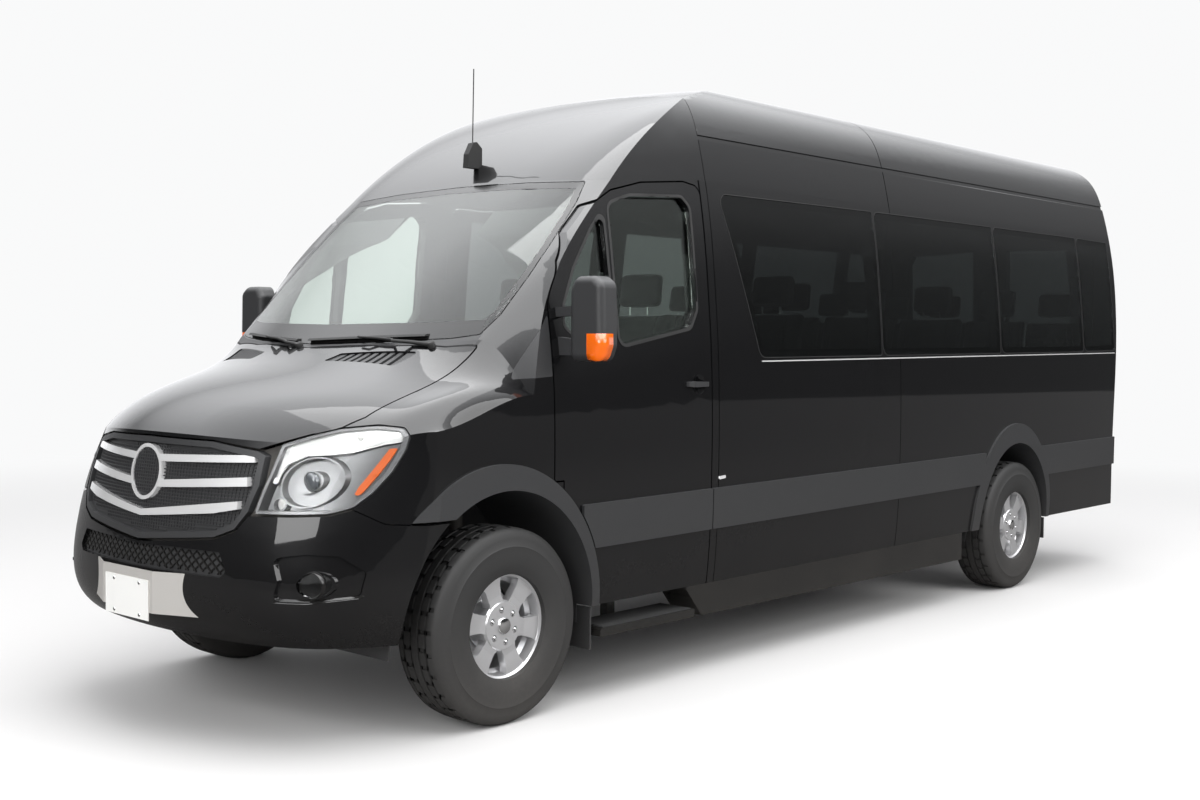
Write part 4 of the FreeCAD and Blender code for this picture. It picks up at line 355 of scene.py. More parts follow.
def add_bump(tree, shader, height, strength, distance):
    bump = put(tree, "Bump", {"Strength": strength, "Distance": distance, "Height": height})
    feed(tree, shader.inputs["Normal"], bump.outputs["Normal"])


def finish_of(name, colour, rough=0.5, metal=0.0, dust=0.0, dust_height=1.0, clean=0.05,
              dust_colour=(0.30, 0.27, 0.23), **sockets):
    # Gives back the material with its tree and shader, so that a grain can be added
    material = bpy.data.materials.new(name)
    material.use_nodes = True
    tree = material.node_tree
    shader = tree.nodes["Principled BSDF"]
    for label, value in {"Base Color": colour, "Roughness": rough, "Metallic": metal, **sockets}.items():
        feed(tree, shader.inputs[label.replace("_", " ")], value)
    if dust:
        film = use_group(tree, ROAD_DUST, Color=colour, Dust=dust_colour, Amount=dust, Height=dust_height,
                         Clean=clean)
        rougher = math_node(tree, "MULTIPLY_ADD", film.outputs["Mask"], 0.6, rough)
        feed(tree, shader.inputs["Base Color"], film.outputs["Color"])
        feed(tree, shader.inputs["Roughness"], rougher)
    return material, tree, shader


def grained(material_parts, scale, strength, distance, low, high):
    # Moulded grain, for the height and, where no dust sets it, for the roughness
    material, tree, shader = material_parts
    grain = use_group(tree, MOULDED_GRAIN, Scale=scale, Low=low, High=high)
    add_bump(tree, shader, grain.outputs["Height"], strength, distance)
    if not shader.inputs["Roughness"].is_linked:
        feed(tree, shader.inputs["Roughness"], grain.outputs["Roughness"])
    return material


def drawn(material_parts, along, strength, distance, low, high):
    # Fine lines along one axis, as on rolled sheet
    material, tree, shader = material_parts
    lines = use_group(tree, DRAWN_METAL, Along=along, Low=low, High=high)
    add_bump(tree, shader, lines.outputs["Height"], strength, distance)
    feed(tree, shader.inputs["Roughness"], lines.outputs["Roughness"])
    return material


def rippled(material_parts, scale, strength, distance):
    # The slight waviness of sprayed lacquer, glass or cast metal
    material, tree, shader = material_parts
    add_bump(tree, shader, noise(tree, position(tree), scale, 2.0), strength, distance)
    return material


# %% Paint, plastics and rubber
PAINT = rippled(
    finish_of("black_lacquer", (0.0045, 0.0045, 0.005), 0.32, dust=0.05, dust_height=1.1, clean=0.02,
              Coat_Weight=1.0, Coat_Roughness=0.03, Specular_IOR_Level=0.08), 240.0, 0.04, 0.0004)
PLASTIC = grained(
    finish_of("grey_moulding", (0.026, 0.0265, 0.028), 0.46, dust=0.12, dust_height=1.1, clean=0.05),
    900.0, 0.30, 0.0004, 0.42, 0.58)
GLOSS_PLASTIC = rippled(
    finish_of("gloss_black_plastic", (0.008, 0.008, 0.008), 0.16, dust=0.10, dust_height=1.2),
    160.0, 0.05, 0.0004)
INTERIOR = grained(finish_of("cabin_plastic", (0.055, 0.055, 0.058), 0.55), 650.0, 0.35, 0.0005, 0.48, 0.66)
FLOORING = grained(
    finish_of("floor_rubber", (0.035, 0.035, 0.036), 0.7, dust=0.35, dust_height=1.4, clean=0.2),
    320.0, 0.5, 0.0008, 0.6, 0.8)
RUBBER = grained(finish_of("black_rubber", (0.012, 0.012, 0.012), 0.6), 800.0, 0.25, 0.0003, 0.55, 0.75)
TYRE = grained(
    finish_of("tyre_rubber", (0.017, 0.017, 0.017), 0.62, dust=0.30, dust_height=0.9, clean=0.06,
              dust_colour=(0.15, 0.135, 0.12)), 500.0, 0.3, 0.0004, 0.6, 0.75)

# %% Metals
CHROME = rippled(finish_of("bright_chrome", (0.80, 0.80, 0.80), 0.07, 1.0), 120.0, 0.02, 0.0003)
ALLOY = rippled(
    finish_of("silver_alloy", (0.68, 0.68, 0.69), 0.28, 0.7, dust=0.15, dust_height=0.8, clean=0.05,
              Coat_Weight=0.6, Coat_Roughness=0.08), 260.0, 0.05, 0.0003)
SHEET = drawn(
    finish_of("brushed_sheet", (0.66, 0.64, 0.61), 0.3, 0.5),
    (2.0, 260.0, 260.0), 0.12, 0.0003, 0.25, 0.45)
UNDERSEAL = grained(
    finish_of("underseal", (0.018, 0.018, 0.018), 0.7, dust=0.7, dust_height=0.9, clean=0.25),
    260.0, 0.5, 0.0010, 0.6, 0.8)
CAST_IRON = grained(
    finish_of("cast_iron", (0.10, 0.092, 0.085), 0.6, 0.6, dust=0.5, dust_height=0.9, clean=0.2),
    300.0, 0.5, 0.0008, 0.5, 0.7)
EXHAUST = drawn(
    finish_of("heat_stained_steel", (0.30, 0.27, 0.23), 0.4, 0.9),
    (200.0, 2.0, 200.0), 0.2, 0.0004, 0.35, 0.6)


# %% Glass and lamps
def clear_glass(name, colour, ior=1.45):
    return finish_of(name, colour, 0.0, Transmission_Weight=1.0, IOR=ior)[0]


DARK_GLASS = clear_glass("privacy_glass", (0.10, 0.11, 0.11))
DOOR_GLASS = clear_glass("door_glass", (0.60, 0.68, 0.63))
SCREEN_GLASS = clear_glass("screen_glass", (0.80, 0.86, 0.83))
LENS = clear_glass("clear_lens", (0.96, 0.97, 0.97), ior=1.18)
RED_LENS = rippled(finish_of("red_lens", (0.36, 0.008, 0.008), 0.08, Coat_Weight=1.0), 90.0, 0.05, 0.0004)
AMBER = rippled(finish_of("amber_lens", (0.80, 0.13, 0.002), 0.14, Coat_Weight=1.0), 90.0, 0.05, 0.0004)
WHITE_LENS = rippled(finish_of("white_lens", (0.75, 0.75, 0.73), 0.10, Coat_Weight=1.0), 90.0, 0.05, 0.0004)
MIRROR = finish_of("mirror_silver", (0.85, 0.86, 0.86), 0.02, 1.0)[0]
PLATE_WHITE = rippled(
    finish_of("plate_white", (0.78, 0.78, 0.76), 0.30, dust=0.10, dust_height=1.2),
    60.0, 0.05, 0.0004)


# %% Seat cloth
def seat_cloth():
    material, tree, shader = finish_of("seat_cloth", (0.05, 0.05, 0.055), 0.85, Sheen_Weight=0.3)
    threads = use_group(tree, WEAVE, Scale=260.0, Thread=(0.085, 0.085, 0.092), Shade=(0.03, 0.03, 0.033))
    tree.links.new(threads.outputs["Color"], shader.inputs["Base Color"])
    add_bump(tree, shader, threads.outputs["Height"], 0.5, 0.0008)
    return material


CLOTH = seat_cloth()
print("materials", len(bpy.data.materials))

# %% [markdown]
# ## Finishes of the model's own pieces
#
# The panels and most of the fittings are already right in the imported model, so they only need their
# finish. The record names each piece's slot, and one table says which material belongs to each slot.

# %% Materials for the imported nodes
SLOT_FINISH = {
    "paint": PAINT, "plastic": PLASTIC, "glass_dark": DARK_GLASS, "glass_screen": SCREEN_GLASS,
    "glass_door": DOOR_GLASS, "chrome": CHROME, "lens": LENS, "lamp_body": CHROME, "lamp_red": RED_LENS,
    "alloy": ALLOY, "tyre": TYRE, "steel": UNDERSEAL, "iron": CAST_IRON, "exhaust": EXHAUST, "sheet": SHEET,
    "interior": INTERIOR, "fabric": CLOTH, "floor": FLOORING, "rubber": RUBBER, "mirror": MIRROR,
}
SLOT_OF = {part["node"]: part["material_slot"] for part in frame["record"]["subparts"]}


def dress(node, material):
    mesh = nodes[node].data
    mesh.materials.clear()
    mesh.materials.append(material)


for node_name in nodes:
    dress(node_name, SLOT_FINISH[SLOT_OF[node_name]])
print("dressed", len(nodes), "nodes")


# %% Helper: a finished piece
def new_piece(name, bm, material, body, smooth=40.0, *replaced):
    # Turns a bmesh into a finished piece that rides on a body
    bmesh.ops.recalc_face_normals(bm, faces=bm.faces)
    mesh = bpy.data.meshes.new(name)
    bm.to_mesh(mesh)
    bm.free()
    mesh.materials.append(material)
    piece = bpy.data.objects.new(name, mesh)
    bpy.context.scene.collection.objects.link(piece)
    if smooth:
        mesh.shade_smooth()
        mesh.set_sharp_from_angle(angle=math.radians(smooth))
    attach(piece, body)
    if replaced:
        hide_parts(*replaced)
    return piece


# %% [markdown]
# ## Tyres
#
# A tyre is one closed profile turned about the axle. The profile here has the bead, the bulged side
# wall with its raised bands, the rounded shoulder and a tread with four grooves. After the turn, blocks
# are parted by pushing single faces of the ribs inwards, which is cheaper than cutting the grooves.

# %% Wheel places and the tyre's sizes
WHEELS = {}
for wheel in ("front_left", "front_right", "rear_left", "rear_right"):
    low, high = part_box("wheel_" + wheel + "_tyre")
    WHEELS[wheel] = ((low + high) / 2, (high.z - low.z) / 2, high.x - low.x)
TYRE_STEPS = 140
TREAD_CROWN = 0.003
GROOVE_DEEP = 0.008
GROOVE_HALF = 0.0045
GROOVES = (-0.062, -0.021, 0.021, 0.062)
SIPE_DEEP = 0.006
RIB_PITCH = GROOVES[-1] - GROOVES[-2]
TREAD_BAND = 0.006
MIDDLE_RIB = 0.012


def tyre_profile(radius, width):
    # Points of (distance along the axle, radius), from one bead over the tread to the other
    half = width / 2
    side = [(half - 0.0245, radius - 0.184), (half - 0.012, radius - 0.182), (half - 0.006, radius - 0.165),
            (half - 0.0015, radius - 0.135), (half, radius - 0.100), (half - 0.001, radius - 0.078),
            (half - 0.0005, radius - 0.074), (half - 0.003, radius - 0.070), (half - 0.006, radius - 0.045),
            (half - 0.012, radius - 0.024), (half - 0.020, radius - 0.011), (half - 0.031, radius - 0.004)]
    tread = []
    for centre in reversed(GROOVES):
        for offset, depth in ((GROOVE_HALF + 0.001, 0.0), (GROOVE_HALF - 0.001, GROOVE_DEEP),
                              (-GROOVE_HALF + 0.001, GROOVE_DEEP), (-GROOVE_HALF - 0.001, 0.0)):
            x = centre + offset
            crown = TREAD_CROWN * (x / half) ** 2
            tread.append((x, radius - crown - depth))
    other = [(-x, r) for x, r in reversed(side)]
    return side + tread + other


def tyre_piece(wheel):
    centre, radius, width = WHEELS[wheel]
    bm = bmesh.new()
    profile = [bm.verts.new((x, 0.0, reach)) for x, reach in tyre_profile(radius, width)]
    edges = [bm.edges.new(pair) for pair in zip(profile, profile[1:] + profile[:1])]
    bmesh.ops.spin(bm, geom=profile + edges, cent=(0, 0, 0), axis=(1, 0, 0), angle=math.tau,
                   steps=TYRE_STEPS, use_merge=True)
    bmesh.ops.remove_doubles(bm, verts=bm.verts, dist=0.0002)
    bmesh.ops.recalc_face_normals(bm, faces=bm.faces)
    part_tread_blocks(bm, radius)
    bmesh.ops.translate(bm, verts=bm.verts, vec=centre)
    return new_piece("tyre_" + wheel, bm, TYRE, "wheel_" + wheel, 35.0, "wheel_" + wheel + "_tyre")


def part_tread_blocks(bm, radius):
    # Every few steps round the tyre, a face of each rib is pushed in to part two blocks
    step = math.tau / TYRE_STEPS
    sunk = []
    for face in bm.faces:
        middle = face.calc_center_median()
        reach = math.hypot(middle.y, middle.z)
        if reach < radius - TREAD_BAND:
            continue
        count = round(math.atan2(middle.y, middle.z) / step - 0.5)
        rib = round(middle.x / RIB_PITCH)
        spacing = 5 if abs(rib) > 1 else 4
        if abs(middle.x) > MIDDLE_RIB and (count + rib * 2) % spacing == 0:
            sunk.append(face)
    made = bmesh.ops.extrude_discrete_faces(bm, faces=sunk)
    for face in made["faces"]:
        middle = face.calc_center_median()
        inward = Vector((0.0, -middle.y, -middle.z)).normalized() * SIPE_DEEP
        bmesh.ops.translate(bm, verts=face.verts, vec=inward)


# %% Make the four tyres
for wheel in WHEELS:
    made = tyre_piece(wheel)
    print(made.name, len(made.data.polygons), "faces")

# %% [markdown]
# ## Wheel nuts and caps
#
# The alloy rim comes from the model. What a step closer shows are six domed nuts in their wells and a plain
# cap over the hub, so they are made once and placed on each wheel.

# %% Sizes of the wheel's small parts
BOLT_RING = 0.065
BOLT_TURN = math.radians(50.0)
BOLT_COUNT = 6
BOLT_SUNK = 0.018
HUB_FACE_FROM_CENTRE = 0.0825
CAP_PROFILE = [(0, -0.006), (0.032, -0.006), (0.032, 0.005), (0.02976, 0.009), (0.0176, 0.0115), (0, 0.0125)]
NUT_PROFILE = [(0, -0.004), (0.0118, -0.004), (0.0118, 0.012), (0.0098, 0.0145), (0, 0.0145)]
DOME_PROFILE = [(0, 0.012), (0.0088, 0.0146), (0.0075, 0.0195), (0.0042, 0.0225), (0, 0.0235)]


def add_turned(bm, profile, at, outward, steps=32, ring=False):
    # Profile of (radius, height) turned about a line through a point; a ring joins its last row to its first
    angles = [math.tau * k / steps for k in range(steps)]
    rows = []
    for radius, height in profile:
        around = angles if radius else angles[:1]
        rows.append([bm.verts.new((radius * math.cos(a), radius * math.sin(a), height)) for a in around])
    for low, high in zip(rows, rows[1:] + rows[:1] if ring else rows[1:]):
        for k in range(steps):
            after = (k + 1) % steps
            corners = [low[k % len(low)], low[after % len(low)], high[after % len(high)], high[k % len(high)]]
            corners = list(dict.fromkeys(corners))
            if len(corners) > 2:
                bm.faces.new(corners)
    for row in () if ring else (rows[0], rows[-1]):
        if len(row) > 1:
            bm.faces.new(row)
    turn = Vector((0, 0, 1)).rotation_difference(Vector(outward)).to_matrix()
    for row in rows:
        for vert in row:
            vert.co = turn @ vert.co + Vector(at)


def wheel_hardware(wheel):
    centre = WHEELS[wheel][0]
    side = 1.0 if centre.x > 0 else -1.0
    outward = Vector((side, 0, 0))
    bm = bmesh.new()
    hub = centre + outward * HUB_FACE_FROM_CENTRE
    add_turned(bm, CAP_PROFILE, hub, outward, 48)
    for count in range(BOLT_COUNT):
        angle = BOLT_TURN + math.tau * count / BOLT_COUNT
        at = hub + Vector((-BOLT_SUNK * side, BOLT_RING * math.sin(angle), BOLT_RING * math.cos(angle)))
        add_turned(bm, NUT_PROFILE, at, outward, 6)
        add_turned(bm, DOME_PROFILE, at, outward, 18)
    new_piece("nuts_" + wheel, bm, CHROME, "wheel_" + wheel, 30.0)


for wheel in WHEELS:
    wheel_hardware(wheel)
print("wheel hardware made")

# %% [markdown]
# ## Laying trim on the curved skin
#
# Seals, lamp inlays, lens strips and pads follow the body's curves. Each starts as a flat outline in one
# view. It is cut into small cells, and every corner is then pushed along the line of sight to the packed
# skin, once for its outer and once for its inner face. One helper serves the front, the sides and the rear.

# %% Helpers: outlines
# Place of the front axle in the model
FRONT_Y = -2.435


def fy(y):
    # Millimetres behind the front axle to metres in the model
    return FRONT_Y + y / 1000.0


def side_points(points):
    # Outline of (behind the front axle, height) in millimetres, as seen from the side
    return [Vector((fy(y), z / 1000.0)) for y, z in points]


def front_points(points):
    return [Vector((x / 1000.0, z / 1000.0)) for x, z in points]


def whole(half):
    # Both halves of an outline, seen from the front
    return front_points(half + [(-x, z) for x, z in reversed(half) if x > 0])


def oblong(x0, z0, x1, z1, radius, steps):
    return rounded(front_points([(x0, z0), (x1, z0), (x1, z1), (x0, z1)]), radius, steps)


def inset_outline(points, distance):
    # Every edge moved inwards, with mitred corners
    count = len(points)
    area = sum(a.x * b.y - b.x * a.y for a, b in zip(points, points[1:] + points[:1]))
    turn = 1.0 if area > 0 else -1.0
    moved = []
    for i in range(count):
        before = (points[i] - points[i - 1]).normalized()
        after = (points[(i + 1) % count] - points[i]).normalized()
        a = Vector((-before.y, before.x)) * turn
        b = Vector((-after.y, after.x)) * turn
        moved.append(points[i] + (a + b) * distance / (1.0 + a.dot(b)))
    return moved


def rounded(points, radius, steps=6):
    # Corners replaced by arcs; the number of points depends only on the number of corners
    count = len(points)
    radii = radius if isinstance(radius, list) else [radius] * count
    made = []
    for i in range(count):
        a, b = points[i - 1] - points[i], points[(i + 1) % count] - points[i]
        la, lb = a.length, b.length
        a.normalize()
        b.normalize()
        half = a.angle(b) / 2.0
        reach = min(max(radii[i], 0.0005) / math.tan(half), la * 0.48, lb * 0.48)
        real = reach * math.tan(half)
        centre = points[i] + (a + b).normalized() * (real / math.sin(half))
        start, end = points[i] + a * reach - centre, points[i] + b * reach - centre
        sweep = start.angle(end)
        for k in range(steps + 1):
            t = k / steps
            spoke = start * math.sin((1 - t) * sweep) + end * math.sin(t * sweep)
            made.append(centre + spoke / math.sin(sweep))
    return made


# %% Helpers: search trees and sheets on the skin
def skin_of(*names):
    corners, faces = [], []
    for name in names:
        base = len(corners)
        corners += [vertex.co.copy() for vertex in nodes[name].data.vertices]
        faces += [[base + i for i in polygon.vertices] for polygon in nodes[name].data.polygons]
    return BVHTree.FromPolygons(corners, faces)


# Per view: the two axes of the outline, the axis of sight, and the way that the sight runs along it
VIEWS = {"front": (0, 2, 1, 1.0), "rear": (0, 2, 1, -1.0), "left": (1, 2, 0, -1.0), "right": (1, 2, 0, 1.0),
         "top": (0, 1, 2, -1.0)}
SIGHT_FROM = 9.0


def sight(skin, view, at):
    # Where the line of sight through a point of the outline meets the skin
    u, v, along, way = VIEWS[view]
    start, towards = Vector((0, 0, 0)), Vector((0, 0, 0))
    start[u], start[v], start[along] = *at, -way * SIGHT_FROM
    towards[along] = way
    return skin.ray_cast(start, towards)[0]


def everything(bm):
    return bm.verts[:] + bm.edges[:] + bm.faces[:]


def cut_at(bm, geom, axis, place, dist=1e-6):
    # Cuts by the plane square to one axis
    at, normal = Vector((0, 0, 0)), Vector((0, 0, 0))
    at[axis], normal[axis] = place, 1.0
    bmesh.ops.bisect_plane(bm, geom=geom, dist=dist, plane_co=at, plane_no=normal)


def cut_cells(bm, axes, cell):
    for axis in axes:
        values = [vertex.co[axis] for vertex in bm.verts]
        low, high = min(values), max(values)
        for k in range(1, int((high - low) / cell) + 1):
            cut_at(bm, everything(bm), axis, low + k * cell)


def laid_faces(bm, skin, view, outline, out, into, hole=None, cell=0.03):
    # Adds a closed sheet that lies from `out` before the skin to `into` behind it
    u, v, along, way = VIEWS[view]
    own = bmesh.new()

    def loop(points):
        made = []
        for point in points:
            vertex = own.verts.new((0, 0, 0))
            vertex.co[u], vertex.co[v] = point
            made.append(vertex)
        return made

    if hole:
        outer, inner = loop(outline), loop(hole)
        for i in range(len(outer)):
            after = (i + 1) % len(outer)
            own.faces.new((outer[i], outer[after], inner[after], inner[i]))
    else:
        own.faces.new(loop(outline))
    cut_cells(own, (u, v), cell)
    bmesh.ops.triangulate(own, faces=[face for face in own.faces if len(face.verts) > 4])
    below = own.verts[:]
    made = bmesh.ops.extrude_face_region(own, geom=own.faces[:])
    above = [part for part in made["geom"] if isinstance(part, bmesh.types.BMVert)]
    # A point past the skin's edge takes the depth of the nearest point that meets the skin
    hits = {}
    for vertex in below:
        at = (vertex.co[u], vertex.co[v])
        hits[round(at[0], 6), round(at[1], 6)] = sight(skin, view, at)
    found = [hit for hit in hits.values() if hit]
    for vertices, shift in ((below, way * into), (above, -way * out)):
        for vertex in vertices:
            x, y = vertex.co[u], vertex.co[v]
            hit = hits[round(x, 6), round(y, 6)]
            hit = hit or min(found, key=lambda p: (p[u] - x) ** 2 + (p[v] - y) ** 2)
            vertex.co[along] = hit[along] + shift
    append(bm, own)


def append(bm, own):
    # Copies one bmesh into another and frees it
    mesh = bpy.data.meshes.new("part")
    own.to_mesh(mesh)
    own.free()
    bm.from_mesh(mesh)
    bpy.data.meshes.remove(mesh)


def mirror_in(bm):
    # The same shapes on the other side
    made = bmesh.ops.duplicate(bm, geom=everything(bm))["geom"]
    bmesh.ops.scale(bm, verts=[part for part in made if isinstance(part, bmesh.types.BMVert)], vec=(-1, 1, 1))
    bmesh.ops.reverse_faces(bm, faces=[part for part in made if isinstance(part, bmesh.types.BMFace)])


def laid_piece(name, material, skin, view, outlines, out, into, cell=0.03, body="body", mirrored=False):
    # A piece of closed sheets on the skin, with the same on the other side where it is mirrored
    bm = bmesh.new()
    for outline in outlines:
        laid_faces(bm, skin, view, outline, out, into, None, cell)
    if mirrored:
        mirror_in(bm)
    new_piece(name, bm, material, body, 30.0)


def close_rows(bm, rows):
    # Faces between rows of as many vertices, and one at each end
    count = len(rows[0])
    for low, high in zip(rows, rows[1:]):
        for k in range(count):
            bm.faces.new((low[k], low[(k + 1) % count], high[(k + 1) % count], high[k]))
    bm.faces.new(rows[0])
    bm.faces.new(rows[-1])


def add_tube(bm, points, radius, sides=10):
    # Round rod along a line of points, closed at its ends
    points = [Vector(point) for point in points]
    rows = []
    previous = None
    for i, point in enumerate(points):
        ahead = (points[min(i + 1, len(points) - 1)] - points[max(i - 1, 0)]).normalized()
        if previous is None:
            previous = ahead.orthogonal().normalized()
        across = (previous - ahead * previous.dot(ahead)).normalized()
        previous = across
        up = ahead.cross(across)
        size = radius[i] if isinstance(radius, list) else radius
        rows.append([bm.verts.new(point + across * size * math.cos(math.tau * k / sides)
                                  + up * size * math.sin(math.tau * k / sides)) for k in range(sides)])
    close_rows(bm, rows)


# %% [markdown]
# ## Seals, window borders and the windscreen's black edge
#
# Rubber lips hide the joint between glass and door. The fixed side panes are bonded flush, so they only
# show a thin black line, and the windscreen has a printed black border that widens towards the foot.

# %% Window outlines, the same as in the model
SCREEN_HALF = [(0, 1474), (430, 1486), (700, 1502), (800, 1518), (824, 1600), (828, 1760), (820, 1905),
               (794, 2080), (758, 2176), (430, 2192), (0, 2199)]
DOOR_WINDOW = [(640, 1478), (1110, 1560), (1160, 1640), (1165, 2095), (1120, 2135), (790, 2116), (650, 2072)]
DOOR_WINDOW_R = [40, 40, 50, 45, 30, 60, 50]
QUARTER = [(400, 1500), (608, 1482), (608, 2036), (530, 1955), (408, 1790), (330, 1640), (318, 1560)]
QUARTER_R = [40, 20, 25, 30, 60, 30, 30]
PANES = [[(1632, 1426), (2715, 1432), (2715, 2184), (1384, 2172)],
         [(2731, 1432), (4064, 1440), (4064, 2188), (2731, 2184)],
         [(4080, 1440), (5238, 1448), (5238, 2190), (4080, 2188)],
         [(5254, 1449), (5742, 1456), (5742, 2184), (5254, 2190)]]
SLIDE_PANE = [(1452, 1426), (2560, 1432), (2560, 2176), (1452, 2170)]
PANE_R = [55, 14, 14, 45]


def ring_outlines(corners, radii, out, inside):
    # Outer and inner edge of a lip about an opening, with as many points each
    outer = rounded(inset_outline(corners, -out), [r / 1000.0 + out for r in radii])
    inner = rounded(inset_outline(corners, inside), [max(r / 1000.0 - inside, 0.003) for r in radii])
    return outer, inner


# %% Lips about the door windows
def door_lips(side):
    skin = skin_of("door_" + side)
    bm = bmesh.new()
    for corners, radii in ((DOOR_WINDOW, DOOR_WINDOW_R), (QUARTER, QUARTER_R)):
        outer, inner = ring_outlines(side_points(corners), radii, 0.013, 0.0)
        laid_faces(bm, skin, side, outer, 0.0016, 0.003, inner, 0.05)
    new_piece("window_lips_" + side, bm, RUBBER, "door_" + side, 30.0)


door_lips("left")
door_lips("right")


# %% Lines about the bonded panes
def pane_lines(side, panes, *body_nodes):
    skin = skin_of(*body_nodes)
    bm = bmesh.new()
    for corners in panes:
        outer, inner = ring_outlines(side_points(corners), PANE_R, 0.004, -0.0005)
        laid_faces(bm, skin, side, outer, 0.0008, 0.002, inner, 0.08)
    new_piece("pane_lines_" + side, bm, RUBBER, "body", 30.0)


pane_lines("left", PANES, "side_wall_left")
pane_lines("right", PANES[1:] + [SLIDE_PANE], "side_wall_right", "sliding_door")

# %% Black border of the windscreen
BORDER_WIDE = 0.032
BORDER_FOOT = (0.055, 1.50, 0.12)


def screen_border():
    # The border widens towards the foot: by how much, from which height down, and over what height
    points = whole(SCREEN_HALF)
    outer = inset_outline(points, 0.004)
    inner = inset_outline(points, BORDER_WIDE)
    wider, foot, span = BORDER_FOOT
    inner = [Vector((p.x, p.y + wider * max(0.0, 1.0 - (p.y - foot) / span))) for p in inner]
    skin = skin_of("windscreen")
    bm = bmesh.new()
    laid_faces(bm, skin, "front", outer, 0.0006, 0.001, inner, 0.05)
    new_piece("screen_border", bm, GLOSS_PLASTIC, "body", 30.0)


screen_border()
print("seals laid")

# %% [markdown]
# ## Headlamps
#
# Behind the clear cover lie a bright inlay along the inner and upper edge, the domed projector, a small
# low lamp, a round turn lamp and an amber strip down the outer side. They are laid behind the cover's
# skin by their depth, so they follow its sweep.

# %% Lamp inlays
LAMP_BAND = [(607, 985), (605, 1010), (616, 1108), (690, 1141), (760, 1165), (850, 1177), (908, 1168),
             (928, 1146), (925, 1128), (888, 1118), (820, 1090), (762, 1081), (700, 1076), (650, 1046),
             (636, 1010), (634, 972)]
LAMP_BAND_STEP = [(640, 1030), (656, 1052), (704, 1083), (764, 1088), (820, 1097), (884, 1124), (880, 1130),
                  (816, 1104), (762, 1095), (700, 1090), (650, 1058), (634, 1034)]
AMBER_STRIP = [(920, 1107), (911, 1066), (896, 1012), (876, 953), (869, 940), (860, 944), (864, 967),
               (876, 1006), (893, 1062), (905, 1104)]
BRIGHT_INLAY = rippled(finish_of("bright_inlay", (0.86, 0.86, 0.85), 0.22, 0.55), 40.0, 0.05, 0.0006)
PROJECTOR_GLASS = rippled(
    finish_of("projector_glass", (0.10, 0.11, 0.12), 0.04, 0.2, Coat_Weight=1.0), 30.0, 0.03, 0.0006)
REFLECTOR = rippled(finish_of("satin_reflector", (0.22, 0.22, 0.225), 0.34, 0.7), 60.0, 0.12, 0.0015)


def lamp_inlays():
    cover = skin_of("headlamp_lenses")
    bm = bmesh.new()
    for outline, radius, steps, out, into in ((LAMP_BAND, 0.008, 3, -0.022, 0.026),
                                              (LAMP_BAND_STEP, 0.002, 2, -0.017, 0.0225)):
        laid_faces(bm, cover, "front", rounded(front_points(outline), radius, steps), out, into, None, 0.02)
    mirror_in(bm)
    new_piece("lamp_bands", bm, BRIGHT_INLAY, "body", 30.0)
    strip = rounded(front_points(AMBER_STRIP), 0.004, 3)
    laid_piece("lamp_amber", AMBER, cover, "front", [strip], -0.008, 0.013, 0.02, mirrored=True)


# Name, material and domes of (place, radius, rise, depth behind the cover)
LAMP_DOMES = [("lamp_projectors", PROJECTOR_GLASS, [((735, 985), 0.036, 0.013, 0.020)]),
              ("lamp_low", WHITE_LENS, [((661, 906), 0.020, 0.006, 0.024),
                                        ((817, 1140), 0.013, 0.005, 0.019)])]


def lamp_domes():
    # Projector lens, low lamp and turn lamp, each a dome on its stand
    cover = skin_of("headlamp_lenses")
    stands = skin_of("headlamps")
    for name, material, domes in LAMP_DOMES:
        bm = bmesh.new()
        for (x, z), radius, rise, depth in domes:
            at = (x / 1000.0, z / 1000.0)
            y = sight(cover, "front", at).y + depth + rise
            back = sight(stands, "front", at)
            y = min(y, back.y) if back else y
            arc = [k * math.pi / 16 for k in range(8)]
            profile = [(0, -0.016), (radius * 1.06, -0.016), (radius * 1.06, 0.0)]
            profile += [(radius * math.cos(a), rise * math.sin(a)) for a in arc]
            profile.append((0, rise))
            add_turned(bm, profile, Vector((at[0], y, at[1])), Vector((0, -1, 0)), 40)
        mirror_in(bm)
        new_piece(name, bm, material, "body", 40.0)


dress("headlamps", REFLECTOR)
dress("running_boards", GLOSS_PLASTIC)
lamp_inlays()
lamp_domes()
print("lamps made")

# %% [markdown]
# ## Grille and air intake
#
# A moulded mesh fills the space behind the three bright slats, and a coarser diamond mesh fills the air
# intake. Both are arrays of thin bars that follow the face of the panel that carries them.


# %% Bars across a panel
def add_bar(bm, points, width, proud, sunk=0.002):
    # Flat bar along points on a face seen from the front, narrower at its outer side
    rows = []
    out, into = Vector((0, -proud, 0)), Vector((0, sunk, 0))
    for i, point in enumerate(points):
        ahead = (points[min(i + 1, len(points) - 1)] - points[max(i - 1, 0)]).normalized()
        across = ahead.cross(Vector((0, 1, 0))).normalized() * (width / 2)
        corners = (across + into, across * 0.7 + out, -across * 0.7 + out, -across + into)
        rows.append([bm.verts.new(point + corner) for corner in corners])
    close_rows(bm, rows)


def inside_outline(point, outline):
    found = False
    for a, b in zip(outline, outline[1:] + outline[:1]):
        if (a.y > point.y) != (b.y > point.y):
            if point.x < (b.x - a.x) * (point.y - a.y) / (b.y - a.y) + a.x:
                found = not found
    return found


